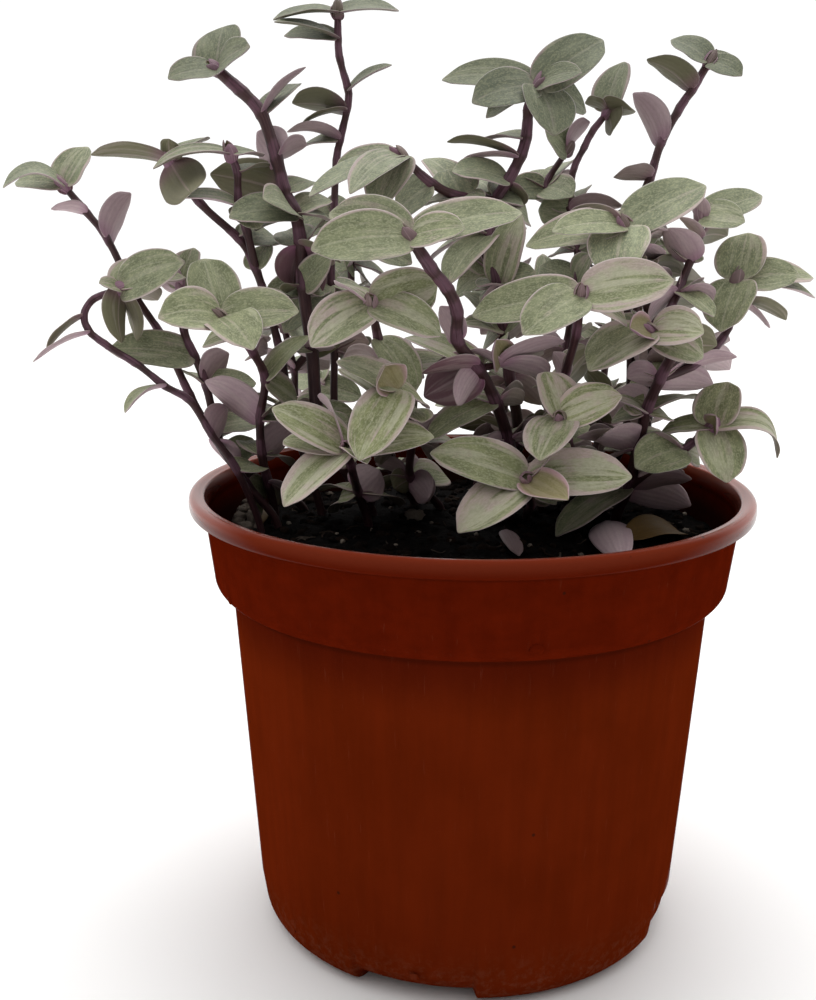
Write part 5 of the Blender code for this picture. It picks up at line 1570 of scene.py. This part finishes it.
def light_room():
    """White light from all round, strongest from above and from behind the plant, and two soft lamps."""
    world = bpy.data.worlds.new("soft_room")
    bpy.context.scene.world = world
    world.use_nodes = True
    nodes, links = world.node_tree.nodes, world.node_tree.links
    heading = nodes.new("ShaderNodeTexCoord")
    parts = nodes.new("ShaderNodeSeparateXYZ")
    links.new(heading.outputs["Generated"], parts.inputs[0])
    both = nodes.new("ShaderNodeMath")
    for number, (axis, ends) in enumerate((("Y", ROOM_BEHIND), ("Z", ROOM_ABOVE))):
        lift = nodes.new("ShaderNodeMapRange")
        lift.interpolation_type = "SMOOTHSTEP"
        for place, value in enumerate(ends, start=1):
            lift.inputs[place].default_value = value
        links.new(parts.outputs[axis], lift.inputs[0])
        links.new(lift.outputs[0], both.inputs[number])
    back = nodes["Background"]
    back.inputs["Color"].default_value = (1.0, 1.0, 1.0, 1.0)
    links.new(both.outputs[0], back.inputs["Strength"])
    for name, place, size, power in LAMPS:
        lamp(name, place, size, power)
    bpy.context.scene.view_settings.view_transform = "Standard"


def set_camera():
    """The camera where the picture was taken from."""
    lens = bpy.data.cameras.new("camera")
    lens.sensor_width = SENSOR
    lens.lens = FOCAL * SENSOR / PICTURE_HIGH
    lens.clip_start = 0.01
    made = bpy.data.objects.new("camera", lens)
    bpy.context.scene.collection.objects.link(made)
    ahead = (sight(CENTRE_COL, CENTRE_ROW, 0) - EYE).normalized()
    right = sight(CENTRE_COL + 100, CENTRE_ROW, 0) - sight(CENTRE_COL, CENTRE_ROW, 0)
    right = (right - ahead * right.dot(ahead)).normalized()
    turn = Matrix((right, right.cross(ahead), -ahead)).transposed().to_4x4()
    made.matrix_world = Matrix.Translation(EYE * MM + AXIS) @ turn
    bpy.context.scene.camera = made


# The tips of the leaves whose undersides are plainly olive, plainly mauve, or a deep maroon that is partly
# the underside's own colour and partly painted shade.
OLIVE_BENEATH = ((191, 193), (91, 155), (210, 174), (169, 139), (632, 109), (613, 130),
                 (786, 320), (647, 59), (292, 103), (121, 343), (717, 345), (463, 292))
MAUVE_BENEATH = ((205, 381), (293, 428), (229, 353), (565, 341), (548, 378), (713, 384),
                 (627, 378), (457, 405), (691, 506), (692, 479), (616, 392), (577, 437),
                 (698, 196), (680, 217), (669, 228), (633, 93), (51, 209), (131, 193),
                 (440, 306), (287, 132), (713, 300), (647, 323), (257, 132), (307, 145))
MAROON_PAINTED_SHADE_BENEATH = ((422, 373), (424, 397), (292, 286), (323, 291))

# The tips of the old leaves close to the soil that are painted darker, as painted shade, and by how much.
PAINTED_SHADE_TIPS, PAINTED_SHADE_BY = ((556, 537), (692, 479)), 1.0

# The tips of the leaves that hang towards the eye and are painted paler, as painted light, and by how much
# (a negative painted shade).
PAINTED_LIGHT_TIPS, PAINTED_LIGHT_BY = ((616, 279), (727, 483), (728, 382), (568, 500), (721, 332), (748, 233), (622, 396)), -0.55

# The crowns whose youngest leaf is one cup, which hides the bud.
BUDLESS = ("front_cup", "middle_bud")
YOUNG_SHARE = 0.85
PLANT_SEED, FALLEN_SEED = 3, 12


def beneath(leaf):
    """How lilac a leaf's underside is, for the tips listed: 0 olive, 1 mauve, 2 deep maroon, which is partly
    painted shade.
    """
    tip = (leaf.col, leaf.row)
    for shade, tips in ((0.0, OLIVE_BENEATH), (1.0, MAUVE_BENEATH), (2.0, MAROON_PAINTED_SHADE_BENEATH)):
        if tip in tips:
            return shade
    return None


def make_plant(stock, leaf_look, stem_look):
    """For each crown its leaves and bud, and for each family of stems its stems and its older leaves."""
    chance = Random(PLANT_SEED)
    families = {}
    for name, shoot in stock.items():
        families.setdefault(shoot.family, []).append(shoot)
        crown = Clay()
        for place, leaf in shoot.crown_leaves:
            young = YOUNG_SHARE if leaf.cup > YOUNG_CUP and leaf.width < YOUNG_WIDE else 0.0
            # Painted light for the listed leaves that face the eye.
            painted_shading = PAINTED_LIGHT_BY if (leaf.col, leaf.row) in PAINTED_LIGHT_TIPS else 0.0
            warm = warmth(place[0], chance)
            add_leaf(crown, chance, place, leaf, warm, young, lilac=beneath(leaf), painted_shading=painted_shading)
        if name not in BUDLESS:
            add_bud(crown, shoot, chance)
        crown.shown("crown_" + name, leaf_look, "striped_leaf", ["leaves_" + name])
    for name, shoots in families.items():
        stems, older = Clay(), Clay()
        for shoot in shoots:
            verts, faces, marks = stem_body(shoot, chance)
            stems.add(verts, faces, **marks)
            for place, leaf in shoot.side_leaves:
                # Painted shade for the listed old leaves near the soil.
                painted_shading = PAINTED_SHADE_BY if (leaf.col, leaf.row) in PAINTED_SHADE_TIPS else 0.0
                warm = warmth(place[0], chance)
                add_leaf(older, chance, place, leaf, warm, lilac=beneath(leaf), painted_shading=painted_shading, grid=OLDER_GRID)
        stems.shown("stems_" + name, stem_look, "maroon_stem", ["stem_" + name])
        if older.verts:
            older.shown("older_leaves_" + name, leaf_look, "striped_leaf", ["stem_" + name])


# Leaves that lie on the soil: where each starts and ends in the picture, its width, how dry it is, whether
# its underside is up, and how high its tip is above the soil.
FALLEN = (
    ((680, 530), (624, 539), 8.0, 0.95, False, 0.9),
    ((606, 523), (622, 551), 8.5, 0.0, True, 3.5),
    ((616, 510), (558, 528), 7.0, 0.5, False, 0.9),
    ((506, 531), (519, 551), 4.0, 0.3, True, 0.9),
    ((238, 500), (262, 514), 3.5, 0.9, False, 0.9),
)

# The end of a fallen leaf that lies flat is LYING_HIGH above the soil and at most LYING_R from the pot's
# axis. An end that is raised more may be further out, by a share of the difference.
LYING_HIGH, LYING_R, RAISED_OUT = 0.9, 52.5, 0.5
FALLEN_ARCH, TURNED_ARCH, FALLEN_CUP = 0.12, -0.05, 25.0


def make_fallen(leaf_look):
    """Dry and low leaves that lie on the soil."""
    chance = Random(FALLEN_SEED)
    clay = Clay()
    for start, end, width, dry, turned_over, tip_rise in FALLEN:
        ends = []
        for pixel, level, rise in ((start, SOIL_TOP_Z, LYING_HIGH), (end, SOIL_TOP_Z + tip_rise, tip_rise)):
            spot = kept_in(on_level(*pixel, level), LYING_R + RAISED_OUT * (rise - LYING_HIGH))
            ends.append(on_soil(spot.x, spot.y, rise))
        face = Vector((chance.uniform(-0.3, 0.3), -0.4, 1.0)).normalized()
        face = -face if turned_over else face
        leaf = Leaf(0, 0, 0, 0, width, 0, TURNED_ARCH if turned_over else FALLEN_ARCH, FALLEN_CUP)
        # Fallen leaves get painted shade as well.
        add_leaf(clay, chance, (*ends, face), leaf, 0.3, dry=dry, lilac=1.0, painted_shading=0.6)
    clay.shown("fallen_leaves", leaf_look, "striped_leaf")


def main():
    set_camera()
    light_room()
    make_floor()
    leaf_look = leaf_finish()
    make_plant(grow(), leaf_look, stem_finish())
    make_fallen(leaf_look)
    make_soil(soil_finish())
    make_pot(pot_finish())


main()
